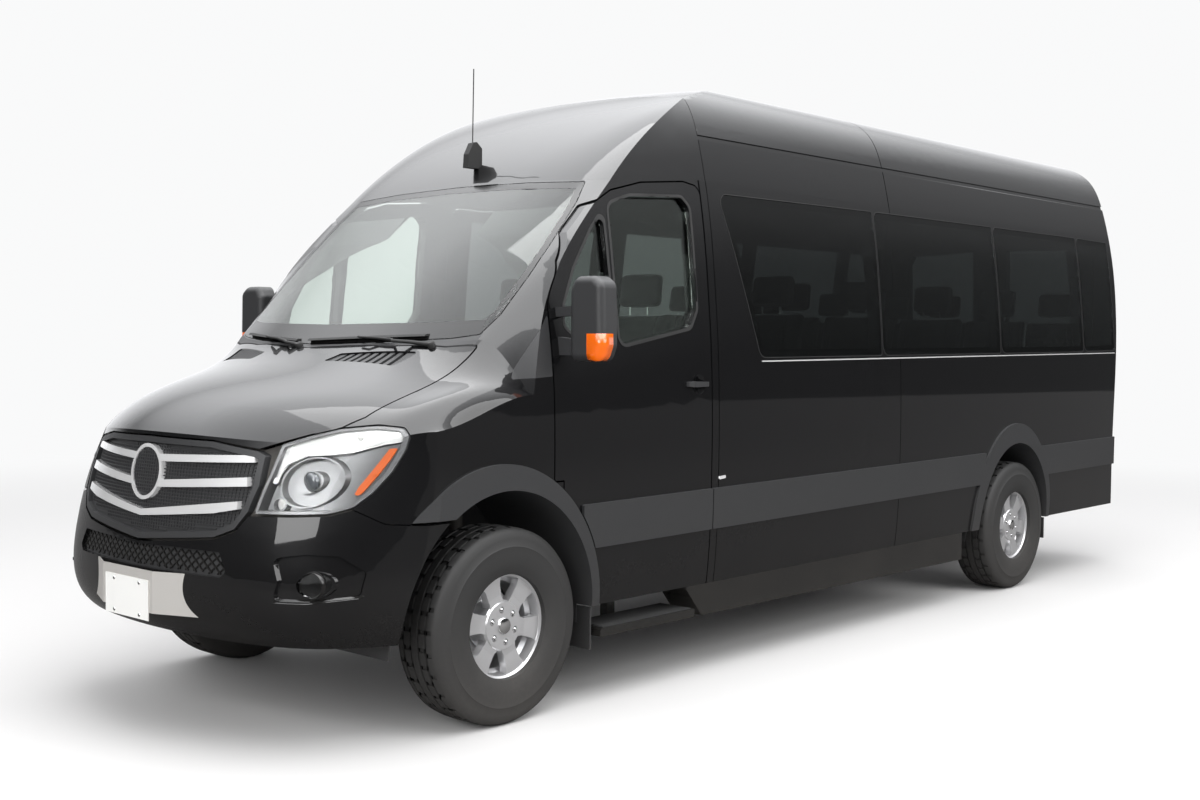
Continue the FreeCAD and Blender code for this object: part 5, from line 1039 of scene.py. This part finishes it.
def mesh_of_bars(skin, outline, lean, pitch, width, proud, step=0.03):
    # Parallel bars at one lean over an outline, broken where they leave it
    bm = bmesh.new()
    way = Vector((math.cos(lean), math.sin(lean)))
    across = Vector((-way.y, way.x))
    middle = sum(outline, Vector((0, 0))) / len(outline)
    reach = max((p - middle).length for p in outline)
    for line in range(-int(reach / pitch), int(reach / pitch) + 1):
        run = []
        for k in range(-int(reach / step) - 1, int(reach / step) + 2):
            at = middle + across * (line * pitch) + way * (k * step)
            hit = sight(skin, "front", at) if inside_outline(at, outline) else None
            if hit is not None:
                run.append(hit)
                continue
            if len(run) > 1:
                add_bar(bm, run, width, proud)
            run = []
    return bm


# %% Meshes of the grille and the intake
GRILLE_HALF = [(0, 1128), (350, 1122), (545, 1093), (578, 1078), (588, 969), (568, 876), (524, 812),
               (432, 777), (0, 737)]
INTAKE_HALF = [(0, 722), (240, 729), (470, 730), (512, 662), (486, 640), (0, 637)]


def grille_meshes():
    skin = skin_of("grille")
    inner = inset_outline(whole(GRILLE_HALF), 0.030)
    bm = mesh_of_bars(skin, inner, 0.0, 0.0125, 0.005, 0.003)
    append(bm, mesh_of_bars(skin, inner, math.pi / 2, 0.016, 0.005, 0.003, 0.02))
    new_piece("grille_mesh", bm, PLASTIC, "body", 25.0)
    low = inset_outline(whole(INTAKE_HALF), 0.006)
    bm = mesh_of_bars(skin, low, math.radians(38), 0.026, 0.007, 0.005, 0.012)
    append(bm, mesh_of_bars(skin, low, math.radians(-38), 0.026, 0.007, 0.005, 0.012))
    new_piece("intake_mesh", bm, GLOSS_PLASTIC, "body", 25.0)


grille_meshes()
print("grille meshes made")

# %% [markdown]
# ## The roof's front
#
# The front cap rises from the windscreen and runs on into the roof behind the joint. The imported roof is
# flat from that joint on, so it stands too high there. A copy of its mesh is cut into rows and lowered to a
# line that goes on from the cap and only slowly reaches the roof's full height.

# %% Lower the roof's front to the cap
JOINT_Y = 1303.0
RISE_END_Y = 2350.0
ROOF_DEEP = 0.045
ROOF_CELL = 0.07
ROOF_COLUMNS = 60
ROOF_SIDE_CUTS = 12
ROOF_HALF = 0.89
ROOF_FOOT_Z = 2.45
ROOF_RISE = 0.125
RISE_POWER = 2.2
BESIDE_JOINT = 6.0
NEAR_PACKED = 0.0004


def roof_rise(y):
    # Height gained behind the joint: steep at the cap, level at the end
    t = max(0.0, min(1.0, (y - fy(JOINT_Y)) / ((RISE_END_Y - JOINT_Y) / 1000.0)))
    return ROOF_RISE * (1.0 - (1.0 - t) ** RISE_POWER)


def top_line(skin, y):
    # Heights of the roof across the vehicle at one place along it
    columns = range(-ROOF_COLUMNS, ROOF_COLUMNS + 1)
    hits = [sight(skin, "top", (ROOF_HALF * k / ROOF_COLUMNS, y)) for k in columns]
    return [hit.z if hit else None for hit in hits]


def at_column(heights, x):
    # Height between the two nearest columns
    place = (x / ROOF_HALF + 1.0) * ROOF_COLUMNS
    low = max(0, min(2 * ROOF_COLUMNS - 1, int(place)))
    a, b = heights[low], heights[low + 1]
    if a is None or b is None:
        return None
    return a + (b - a) * max(0.0, min(1.0, place - low))


def roof_with_its_cap():
    skin = skin_of("roof")
    cap, full = top_line(skin, fy(JOINT_Y - BESIDE_JOINT)), top_line(skin, fy(JOINT_Y + BESIDE_JOINT))
    bm = bmesh.new()
    bm.from_mesh(nodes["roof"].data)
    bmesh.ops.remove_doubles(bm, verts=bm.verts, dist=1e-5)
    rows = int((RISE_END_Y - JOINT_Y) / 1000.0 / ROOF_CELL)
    for axis, places in ((1, [fy(JOINT_Y) + ROOF_CELL * k for k in range(rows + 2)]),
                         (0, [ROOF_CELL * k for k in range(-ROOF_SIDE_CUTS, ROOF_SIDE_CUTS + 1)])):
        for place in places:
            near = [f for f in bm.faces if max(v.co.y for v in f.verts) > fy(JOINT_Y)
                    and min(v.co.y for v in f.verts) < fy(RISE_END_Y)
                    and f.calc_center_median().z > ROOF_FOOT_Z]
            geom = set(near) | {e for f in near for e in f.edges} | {v for f in near for v in f.verts}
            cut_at(bm, list(geom), axis, place)
    bmesh.ops.triangulate(bm, faces=[face for face in bm.faces if len(face.verts) > 4])
    for vertex in bm.verts:
        x, y, z = vertex.co
        if not fy(JOINT_Y) < y < fy(RISE_END_Y) or z < ROOF_FOOT_Z:
            continue
        line, top = at_column(cap, x), at_column(full, x)
        if line is None or top is None:
            continue
        below = min(max(top - z, 0.0), ROOF_DEEP)
        vertex.co.z = min(z, line + roof_rise(y) - below)
    piece = new_piece("roof_skin", bm, PAINT, "body", 30.0, "roof")
    keep_smoothness(piece.data, nodes["roof"].data)


def keep_smoothness(mesh, packed):
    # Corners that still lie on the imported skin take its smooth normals, which loose triangles would lose
    places = [vertex.co.copy() for vertex in packed.vertices]
    tree = BVHTree.FromPolygons(places, [list(face.vertices) for face in packed.polygons])
    normals = [corner.vector.copy() for corner in mesh.corner_normals]
    for face in mesh.polygons:
        for loop in face.loop_indices:
            corner = mesh.vertices[mesh.loops[loop].vertex_index].co
            point = corner.lerp(face.center, 0.03)
            place, flat, index, gap = tree.find_nearest(point)
            if index is None or gap > NEAR_PACKED or flat.dot(face.normal) < 0.9:
                continue
            own = packed.polygons[index]
            shares = triangle_shares(place, *[places[v] for v in own.vertices])
            total = Vector((0, 0, 0))
            for share, own_loop in zip(shares, own.loop_indices):
                total += packed.corner_normals[own_loop].vector * share
            if total.length > 0.1:
                normals[loop] = total.normalized()
    mesh.normals_split_custom_set(normals)


def triangle_shares(point, a, b, c):
    # How much each corner of a triangle counts at a point
    area = (b - a).cross(c - a).length
    if area < 1e-12:
        return 1.0, 0.0, 0.0
    return ((b - point).cross(c - point).length / area, (c - point).cross(a - point).length / area,
            (a - point).cross(b - point).length / area)


roof_with_its_cap()
print("roof made")

# %% [markdown]
# ## Bright metal, the plate and its bracket
#
# Polished metal in a photograph is mostly white, because it shows the pale sky and the pale ground. Here
# part of that white is a painted reflection: a part-metal shader over a light colour gives some true metal
# reflection, and a painted one that stays white under any light. The plate stays blank, with the
# pressed rim and the four screws that a real one has.

# %% Slats with a painted reflection, and a blank plate
# Part true metal reflection, part a light base colour that paints in the white of the sky's reflection
BRIGHT_METAL_PAINTED_REFLECTION = rippled(
    finish_of("bright_metal_painted_reflection", (0.88, 0.88, 0.88), 0.16, 0.45, Coat_Weight=1.0, Coat_Roughness=0.05),
    120.0, 0.03, 0.0003)
dress("grille_slats", BRIGHT_METAL_PAINTED_REFLECTION)
PLATE_FRONT = fy(-1066)
PLATE_HALF = (0.1525, 0.076)
PLATE_MIDDLE = 0.525
PLATE_RIM = 0.0045
PLATE_SCREW = (0.0889, 0.0603)
SCREW_PROFILE = [(0, -0.002), (0.0075, -0.002), (0.0075, 0.0018), (0.006, 0.0032), (0, 0.0038)]


def plate_outline(inset, radius):
    wide, high = PLATE_HALF[0] - inset, PLATE_HALF[1] - inset
    corners = [Vector((-wide, PLATE_MIDDLE - high)), Vector((wide, PLATE_MIDDLE - high)),
               Vector((wide, PLATE_MIDDLE + high)), Vector((-wide, PLATE_MIDDLE + high))]
    return rounded(corners, radius, 5)


def blank_plate():
    skin = skin_of("plate_bracket")
    bm = bmesh.new()
    laid_faces(bm, skin, "front", plate_outline(0.0, 0.003), 0.0006, -0.0001, None, 0.05)
    rim, window = plate_outline(0.0005, 0.006), plate_outline(PLATE_RIM, 0.006)
    laid_faces(bm, skin, "front", rim, 0.0016, -0.0005, window, 0.05)
    new_piece("plate_face", bm, PLATE_WHITE, "body", 30.0)
    bm = bmesh.new()
    for side in (-1, 1):
        for up in (-1, 1):
            at = Vector((side * PLATE_SCREW[0], PLATE_FRONT, PLATE_MIDDLE + up * PLATE_SCREW[1]))
            add_turned(bm, SCREW_PROFILE, at, (0, -1, 0), 20)
    new_piece("plate_screws", bm, CHROME, "body", 30.0)


blank_plate()
print("plate made")

# %% [markdown]
# ## Lamps on the mirrors, corners and sides
#
# Some of the model's solids carry more than one finish. Their islands are copied, pushed out by less than
# half a millimetre and given the lens colour, so the joint lines stay where the model has them.


# %% Helper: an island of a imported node
def island_copy(node, keep, out):
    # Copies the islands whose middle passes a test, pushed out along their normals
    bm = bmesh.new()
    bm.from_mesh(nodes[node].data)
    bmesh.ops.remove_doubles(bm, verts=bm.verts, dist=1e-5)
    left = set(bm.verts)
    while left:
        island, queue = set(), [left.pop()]
        while queue:
            vertex = queue.pop()
            island.add(vertex)
            for edge in vertex.link_edges:
                other = edge.other_vert(vertex)
                if other in left:
                    left.discard(other)
                    queue.append(other)
        low = Vector([min(v.co[k] for v in island) for k in range(3)])
        high = Vector([max(v.co[k] for v in island) for k in range(3)])
        if not keep((low + high) / 2):
            bmesh.ops.delete(bm, geom=list(island), context="VERTS")
    bm.normal_update()
    for vertex, normal in [(v, v.normal.copy()) for v in bm.verts]:
        vertex.co += normal * out
    return bm


# %% Turn lamps on the mirrors
LENS_PROUD = 0.0004
for side in ("left", "right"):
    glass = "mirror_" + side + "_glass"
    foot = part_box(glass)[0].z
    bm = island_copy(glass, lambda p: p.z < foot + 0.08 and p.y < fy(300), LENS_PROUD)
    new_piece("turn_lamp_" + side, bm, AMBER, "door_" + side, 30.0)

# %% Rear lamp segments, marker lamps and the high brake lamp
REVERSE_LAMP = [(846, 1010), (896, 1010), (896, 1078), (842, 1078)]
TURN_LAMP = [(846, 1290), (896, 1290), (896, 1376), (868, 1384), (846, 1345)]
LAMP_LINES = [[(838, z), (897, z), (897, z + 5), (838, z + 5)] for z in (1002, 1082, 1280)]
SIDE_MARK = [(1306, 874), (1352, 878), (1352, 892), (1306, 888)]


def rear_lamp_parts():
    skin = skin_of("tail_lamps")
    for name, outlines, material, out in (("tail_white", [REVERSE_LAMP], WHITE_LENS, 0.0012),
                                          ("tail_amber", [TURN_LAMP], AMBER, 0.0012),
                                          ("tail_lines", LAMP_LINES, GLOSS_PLASTIC, 0.0006)):
        outlines = [rounded(front_points(outline), 0.003, 3) for outline in outlines]
        laid_piece(name, material, skin, "rear", outlines, out, 0.001, 0.02, mirrored=True)
    laid_piece("high_brake_lamp", RED_LENS, skin_of("roof"), "rear",
               [oblong(-150, 2548, 150, 2572, 0.006, 4)], 0.010, 0.002)


def along_both_sides(name, outline, out, into, cell):
    bm = bmesh.new()
    for view, names in (("left", ["side_wall_left"]), ("right", ["side_wall_right", "sliding_door"])):
        laid_faces(bm, skin_of(*names), view, outline, out, into, None, cell)
    # The bright strips and markers take the slats' metal, whose white is partly a painted reflection
    new_piece(name, bm, BRIGHT_METAL_PAINTED_REFLECTION, "body", 30.0)


rear_lamp_parts()
along_both_sides("side_markers", rounded(side_points(SIDE_MARK), 0.0055, 5), 0.006, 0.001, 0.03)

# %% Fog lamps: the ring at the model's lens, and the blade under them
FOG_AT = (810, 629)
FOG_RIM = [(0.0405, -0.012), (0.0480, -0.012), (0.0480, 0.006), (0.0455, 0.009), (0.0420, 0.006),
           (0.0405, 0.0)]
FOG_BLADE = [(700, 566), (800, 563), (905, 577), (914, 588), (805, 576), (712, 580)]


def fog_lamp_parts():
    hit = sight(skin_of("headlamp_lenses", "front_bumper"), "front", (FOG_AT[0] / 1000, FOG_AT[1] / 1000))
    bm = bmesh.new()
    add_turned(bm, FOG_RIM, hit, Vector((0.28, -1, 0)).normalized(), 48, True)
    mirror_in(bm)
    new_piece("fog_rims", bm, GLOSS_PLASTIC, "body", 40.0)
    laid_piece("fog_blades", GLOSS_PLASTIC, skin_of("front_bumper"), "front",
               [rounded(front_points(FOG_BLADE), 0.003, 3)], 0.004, 0.003, mirrored=True)


fog_lamp_parts()
print("small lamps made")

# %% [markdown]
# ## Trim along the sides and the rear
#
# A thin bright strip runs under the side windows, the step has a ribbed pad, and the rear doors carry a
# handle, a blank plate and a ribbed pad on the bumper. The strips follow the skin, the pads are arrays.


# %% Helper: a bevelled block
def add_block(bm, low, high, bevel=0.0, segments=2):
    middle = (Vector(low) + Vector(high)) / 2
    size = Vector(high) - Vector(low)
    place = Matrix.Translation(middle) @ Matrix.Diagonal((*size, 1.0))
    made = bmesh.ops.create_cube(bm, size=1.0, matrix=place)
    if bevel:
        edges = list({edge for vertex in made["verts"] for edge in vertex.link_edges})
        bmesh.ops.bevel(bm, geom=edges, offset=bevel, segments=segments, profile=0.5, affect="EDGES",
                        material=-1)


# %% Bright strips, step pads and the rear's fittings
WINDOW_STRIP = [(1640, 1404), (5742, 1434), (5742, 1440), (1640, 1410)]
# Left and right edge in metres, front and rear edge behind the front axle, height
STEP_PAD = (0.790, 0.970, 545.0, 1135.0, 0.305)
STEP_RIBS = 11
BUMPER_RIBS = 6
BUMPER_RIB_Y = 5812.0
BUMPER_RIB_PITCH = 19.0


def step_pads():
    bm = bmesh.new()
    x0, x1, y0, y1, top = STEP_PAD
    add_block(bm, (x0, fy(y0), top - 0.001), (x1, fy(y1), top + 0.003), 0.0015)
    pitch = (x1 - x0 - 0.012) / STEP_RIBS
    for k in range(STEP_RIBS):
        left = x0 + 0.008 + k * pitch
        right = left + pitch * 0.55
        add_block(bm, (left, fy(y0 + 8), top + 0.002), (right, fy(y1 - 8), top + 0.0055), 0.001, 1)
    mirror_in(bm)
    new_piece("step_pads", bm, RUBBER, "body", 30.0)


def rear_fittings():
    skin = skin_of("rear_door_left", "rear_door_right")
    bm = bmesh.new()
    laid_faces(bm, skin, "rear", oblong(-168, 1010, -24, 1062, 0.012, 5), 0.006, 0.002)
    grip = sight(skin, "rear", (-0.096, 1.036)).y
    add_block(bm, (-0.156, grip + 0.003, 1.026), (-0.044, grip + 0.024, 1.046), 0.006, 3)
    new_piece("rear_handle", bm, PLASTIC, "rear_door_right", 30.0)
    for name, material, outline, out, into in (
            ("rear_plate_frame", PLASTIC, oblong(-580, 905, -262, 1070, 0.010, 4), 0.004, 0.001),
            ("rear_plate", PLATE_WHITE, oblong(-573, 912, -269, 1063, 0.006, 4), 0.0055, -0.003)):
        laid_piece(name, material, skin, "rear", [outline], out, into, 0.05, "rear_door_right")
    bm = bmesh.new()
    for k in range(BUMPER_RIBS):
        y = BUMPER_RIB_Y + k * BUMPER_RIB_PITCH
        add_block(bm, (-0.56, fy(y), 0.5445), (0.56, fy(y + 10.0), 0.5485), 0.0012, 1)
    new_piece("bumper_pad", bm, RUBBER, "body", 30.0)


along_both_sides("window_strips", side_points(WINDOW_STRIP), 0.003, 0.002, 0.12)
step_pads()
rear_fittings()

# %% Wiper arms
WIPER_ARMS = [((640, 1478), (275, 1508)), ((-70, 1470), (-385, 1509))]
WIPER_RADII = [0.011, 0.009, 0.0075, 0.007, 0.0065, 0.006, 0.0055, 0.005, 0.0045]
WIPER_PIVOT = [(0, -0.012), (0.016, -0.012), (0.016, 0.008), (0.012, 0.013), (0, 0.014)]
WIPER_LEAN = Vector((0, -0.5, 0.87)).normalized()


def wiper_arms():
    skin = skin_of("windscreen", "cowl", "wipers", "hood")
    bm = bmesh.new()
    for foot, tip in WIPER_ARMS:
        spots = [Vector(foot).lerp(Vector(tip), k / 8) / 1000.0 for k in range(9)]
        hits = [sight(skin, "front", at) for at in spots]
        nearest = min(hit.y for hit in hits if hit)
        points = []
        for k, (at, hit) in enumerate(zip(spots, hits)):
            y = hit.y if hit else nearest
            arch = math.sin(math.pi * k / 8)
            points.append(Vector((at.x, y - 0.010 - 0.012 * arch, at.y + 0.004 * arch)))
        add_tube(bm, points, WIPER_RADII)
        add_turned(bm, WIPER_PIVOT, points[0], WIPER_LEAN, 24)
    new_piece("wiper_arms", bm, RUBBER, "body", 40.0)


wiper_arms()
print("trim made")

# %% [markdown]
# ## Seats
#
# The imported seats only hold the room. A real cushion is foam in a sewn cover: it is crowned, its sides pull
# in between the corners, and the seams lie lower than the cloth beside them. Each form starts a little
# smaller than its room, is blown up by the cloth solver with its movement capped, and gets its seams last.

# %% The seat's room and its pads
PAD_CELL = 0.016
PAD_START = 0.006
PAD_FRAMES = 14
PAD_PRESSURE = 4.0
SEAM_HALF = 0.006
SEAM_DEEP = 0.006
CROSS_HALF = 0.011
CAB_SEAT_WIDE = 480.0
HEAD_WIDE = 250.0
CAB_SEATS = [(180.0, 660.0), (-660.0, -180.0)]
# Front edge behind the front axle, height and depth of a cushion
CAB_SEAT_PLACE = (880.0, 1072.0, 430.0)
CABIN_SEAT_PLACE = (1720.0, 1090.0, 410.0)
SEAT_WIDE, SEAT_BETWEEN, ROW_PITCH, WALL_CLEAR = 445.0, 8.0, 830.0, 838.0
BACK_HIGH = 560.0


def cushion_room(deep):
    return [(0, -105), (deep, -120), (deep, -10), (0, 0)]


def back_room(deep):
    return [(deep - 92, -4), (deep + 8, -8), (deep + 130, BACK_HIGH), (deep + 50, BACK_HIGH)]


def head_room(deep):
    return [(deep + 52, BACK_HIGH + 24), (deep + 138, BACK_HIGH + 24), (deep + 150, BACK_HIGH + 190),
            (deep + 84, BACK_HIGH + 190)]


def pad_form(wide, room, round_off, seams, crown):
    # A rounded block in the unit cube, cut at even cells and at its seams, then laid into the room
    corners = [Vector((y / 1000.0, z / 1000.0)) for y, z in room]
    deep = (corners[1] - corners[0]).length
    high = (corners[3] - corners[0]).length
    size = Vector((wide / 1000.0, deep, high))
    bm = bmesh.new()
    bmesh.ops.create_cube(bm, size=1.0)
    for axis in range(3):
        count = max(3, round(size[axis] / PAD_CELL))
        places = [k / count - 0.5 for k in range(1, count)]
        if axis == 0:
            for seam in seams:
                places += [(way * seam + d) / size.x for way in (-1, 1) for d in (-SEAM_HALF, 0.0, SEAM_HALF)]
        for place in sorted(places):
            cut_at(bm, everything(bm), axis, place, 1e-5)
    inner = size / 2 - Vector((PAD_START,) * 3)
    for vertex in bm.verts:
        point = Vector([vertex.co[k] * 2 * inner[k] for k in range(3)])
        core = Vector([max(-(inner[k] - round_off), min(inner[k] - round_off, point[k])) for k in range(3)])
        away = point - core
        if away.length > 1e-6:
            point = core + away.normalized() * round_off
        u, v, w = (point[k] / inner[k] for k in range(3))
        point.z += crown * (1 - u ** 2) * (1 - v ** 2) * w
        along = point.y / size.y + 0.5
        low, top = corners[0].lerp(corners[1], along), corners[3].lerp(corners[2], along)
        place = low.lerp(top, point.z / size.z + 0.5)
        vertex.co = Vector((point.x, place.x, place.y))
    return bm


def blow_up(bm, cap):
    # Runs the cloth solver on a copy and takes over its shape, no vertex moving further than the cap
    mesh = bpy.data.meshes.new("pad")
    bm.to_mesh(mesh)
    pad = bpy.data.objects.new("pad", mesh)
    scene = bpy.context.scene
    scene.collection.objects.link(pad)
    cloth = pad.modifiers.new("cloth", "CLOTH")
    cloth.settings.use_pressure = True
    cloth.settings.uniform_pressure_force = PAD_PRESSURE
    cloth.settings.effector_weights.gravity = 0.0
    for number in range(1, PAD_FRAMES + 1):
        scene.frame_set(number)
    solved = pad.evaluated_get(bpy.context.evaluated_depsgraph_get())
    after = [vertex.co.copy() for vertex in solved.data.vertices]
    bm.verts.ensure_lookup_table()
    for vertex, place in zip(bm.verts, after):
        move = place - vertex.co
        if move.length > cap:
            move *= cap / move.length
        vertex.co += move
    scene.frame_set(1)
    bpy.data.objects.remove(pad)
    bpy.data.meshes.remove(mesh)


def sew(bm, seam, front, cross):
    # Seams lie lower than the cloth beside them; front says which vertices belong to the sewn face
    bm.normal_update()
    for vertex in bm.verts:
        if not front(vertex):
            continue
        fall = max(0.0, 1.0 - abs(abs(vertex.co.x) - seam) / SEAM_HALF)
        for axis, place in cross:
            fall = max(fall, 0.7 * (1.0 - abs(vertex.co[axis] - place) / CROSS_HALF))
        vertex.co -= vertex.normal * SEAM_DEEP * fall


# %% Blow up one pad of each kind
def make_pads(wide, deep):
    seam = wide / 1000.0 * 0.30
    cushion = pad_form(wide, cushion_room(deep), 0.030, [seam], 0.004)
    blow_up(cushion, 0.010)
    sew(cushion, seam, lambda v: v.normal.z > 0.4, [(1, deep / 1000.0 * k) for k in (0.35, 0.65)])
    back = pad_form(wide - 16.0, back_room(deep), 0.030, [seam], 0.0)
    blow_up(back, 0.010)
    sew(back, seam, lambda v: v.normal.y < -0.4, [(2, BACK_HIGH / 1000.0 * k) for k in (0.3, 0.55, 0.8)])
    head = pad_form(HEAD_WIDE, head_room(deep), 0.028, [], 0.0)
    blow_up(head, 0.008)
    return {"cushion": cushion, "back": back, "head": head}


def seat_spans():
    # Name, width limits, row place and seat height of every seat in the cabin
    spans = []
    for row in range(5):
        left = [(WALL_CLEAR - SEAT_WIDE, WALL_CLEAR),
                (WALL_CLEAR - 2 * SEAT_WIDE - SEAT_BETWEEN, WALL_CLEAR - SEAT_WIDE - SEAT_BETWEEN)]
        if row in (1, 2, 3):
            left.append((-WALL_CLEAR, -WALL_CLEAR + SEAT_WIDE))
        if row == 4:
            four = (2 * WALL_CLEAR - 3 * SEAT_BETWEEN) / 4.0
            left = [(-WALL_CLEAR + i * (four + SEAT_BETWEEN), -WALL_CLEAR + i * (four + SEAT_BETWEEN) + four)
                    for i in range(4)]
        for number, (a, b) in enumerate(left):
            y = CABIN_SEAT_PLACE[0] + ROW_PITCH * row
            spans.append((f"row{row}_{number}", a, b, y, CABIN_SEAT_PLACE[1]))
    return spans


def place_seat(label, pads, made_for, a, b, y, z, node):
    # Copies the pads of a kind to one seat, narrowed to its own width
    for kind, source in pads.items():
        bm = source.copy()
        factor = 1.0 if kind == "head" else (b - a) / made_for
        for vertex in bm.verts:
            vertex.co.x = vertex.co.x * factor + (a + b) / 2000.0
            vertex.co.y += fy(y)
            vertex.co.z += z / 1000.0
        piece = new_piece(f"seat_{kind}_{label}", bm, CLOTH, "body", 60.0, node)


def seat_hardware():
    # Head rest rods and the moulded boxes under the cab seats
    bm = bmesh.new()
    places = [((a + b) / 2, *CAB_SEAT_PLACE) for a, b in CAB_SEATS]
    places += [((a + b) / 2, y, z, CABIN_SEAT_PLACE[2]) for _, a, b, y, z in seat_spans()]
    for x, y, z, deep in places:
        for dx in (-55.0, 55.0):
            foot = Vector(((x + dx) / 1000.0, fy(y + deep + 92.0), (z + BACK_HIGH - 12.0) / 1000.0))
            add_tube(bm, [foot, foot + Vector((0, 0, 0.050))], 0.006, 12)
    new_piece("head_rest_rods", bm, CHROME, "body", 40.0, "cab_seats", "cabin_seats")
    bm = bmesh.new()
    for a, b in CAB_SEATS:
        add_block(bm, ((a + 62) / 1000, fy(CAB_SEAT_PLACE[0] + 42), 0.641),
                  ((b - 62) / 1000, fy(CAB_SEAT_PLACE[0] + 398), (CAB_SEAT_PLACE[1] - 114) / 1000), 0.008, 3)
        for x in (a + 12, b - 40):
            add_block(bm, (x / 1000, fy(CAB_SEAT_PLACE[0] + 40), 0.955),
                      ((x + 28) / 1000, fy(CAB_SEAT_PLACE[0] + 410), 0.985), 0.006, 2)
    new_piece("cab_seat_boxes", bm, INTERIOR, "body", 35.0, "cab_seats")


cab_pads = make_pads(CAB_SEAT_WIDE, CAB_SEAT_PLACE[2])
for (a, b), label in zip(CAB_SEATS, ("driver", "passenger")):
    place_seat(label, cab_pads, CAB_SEAT_WIDE, a, b, CAB_SEAT_PLACE[0], CAB_SEAT_PLACE[1], "cab_seats")
cabin_pads = make_pads(SEAT_WIDE, CABIN_SEAT_PLACE[2])
for label, a, b, y, z in seat_spans():
    place_seat(label, cabin_pads, SEAT_WIDE, a, b, y, z, "cabin_seats")
for source in [*cab_pads.values(), *cabin_pads.values()]:
    source.free()
seat_hardware()
print("seats made")
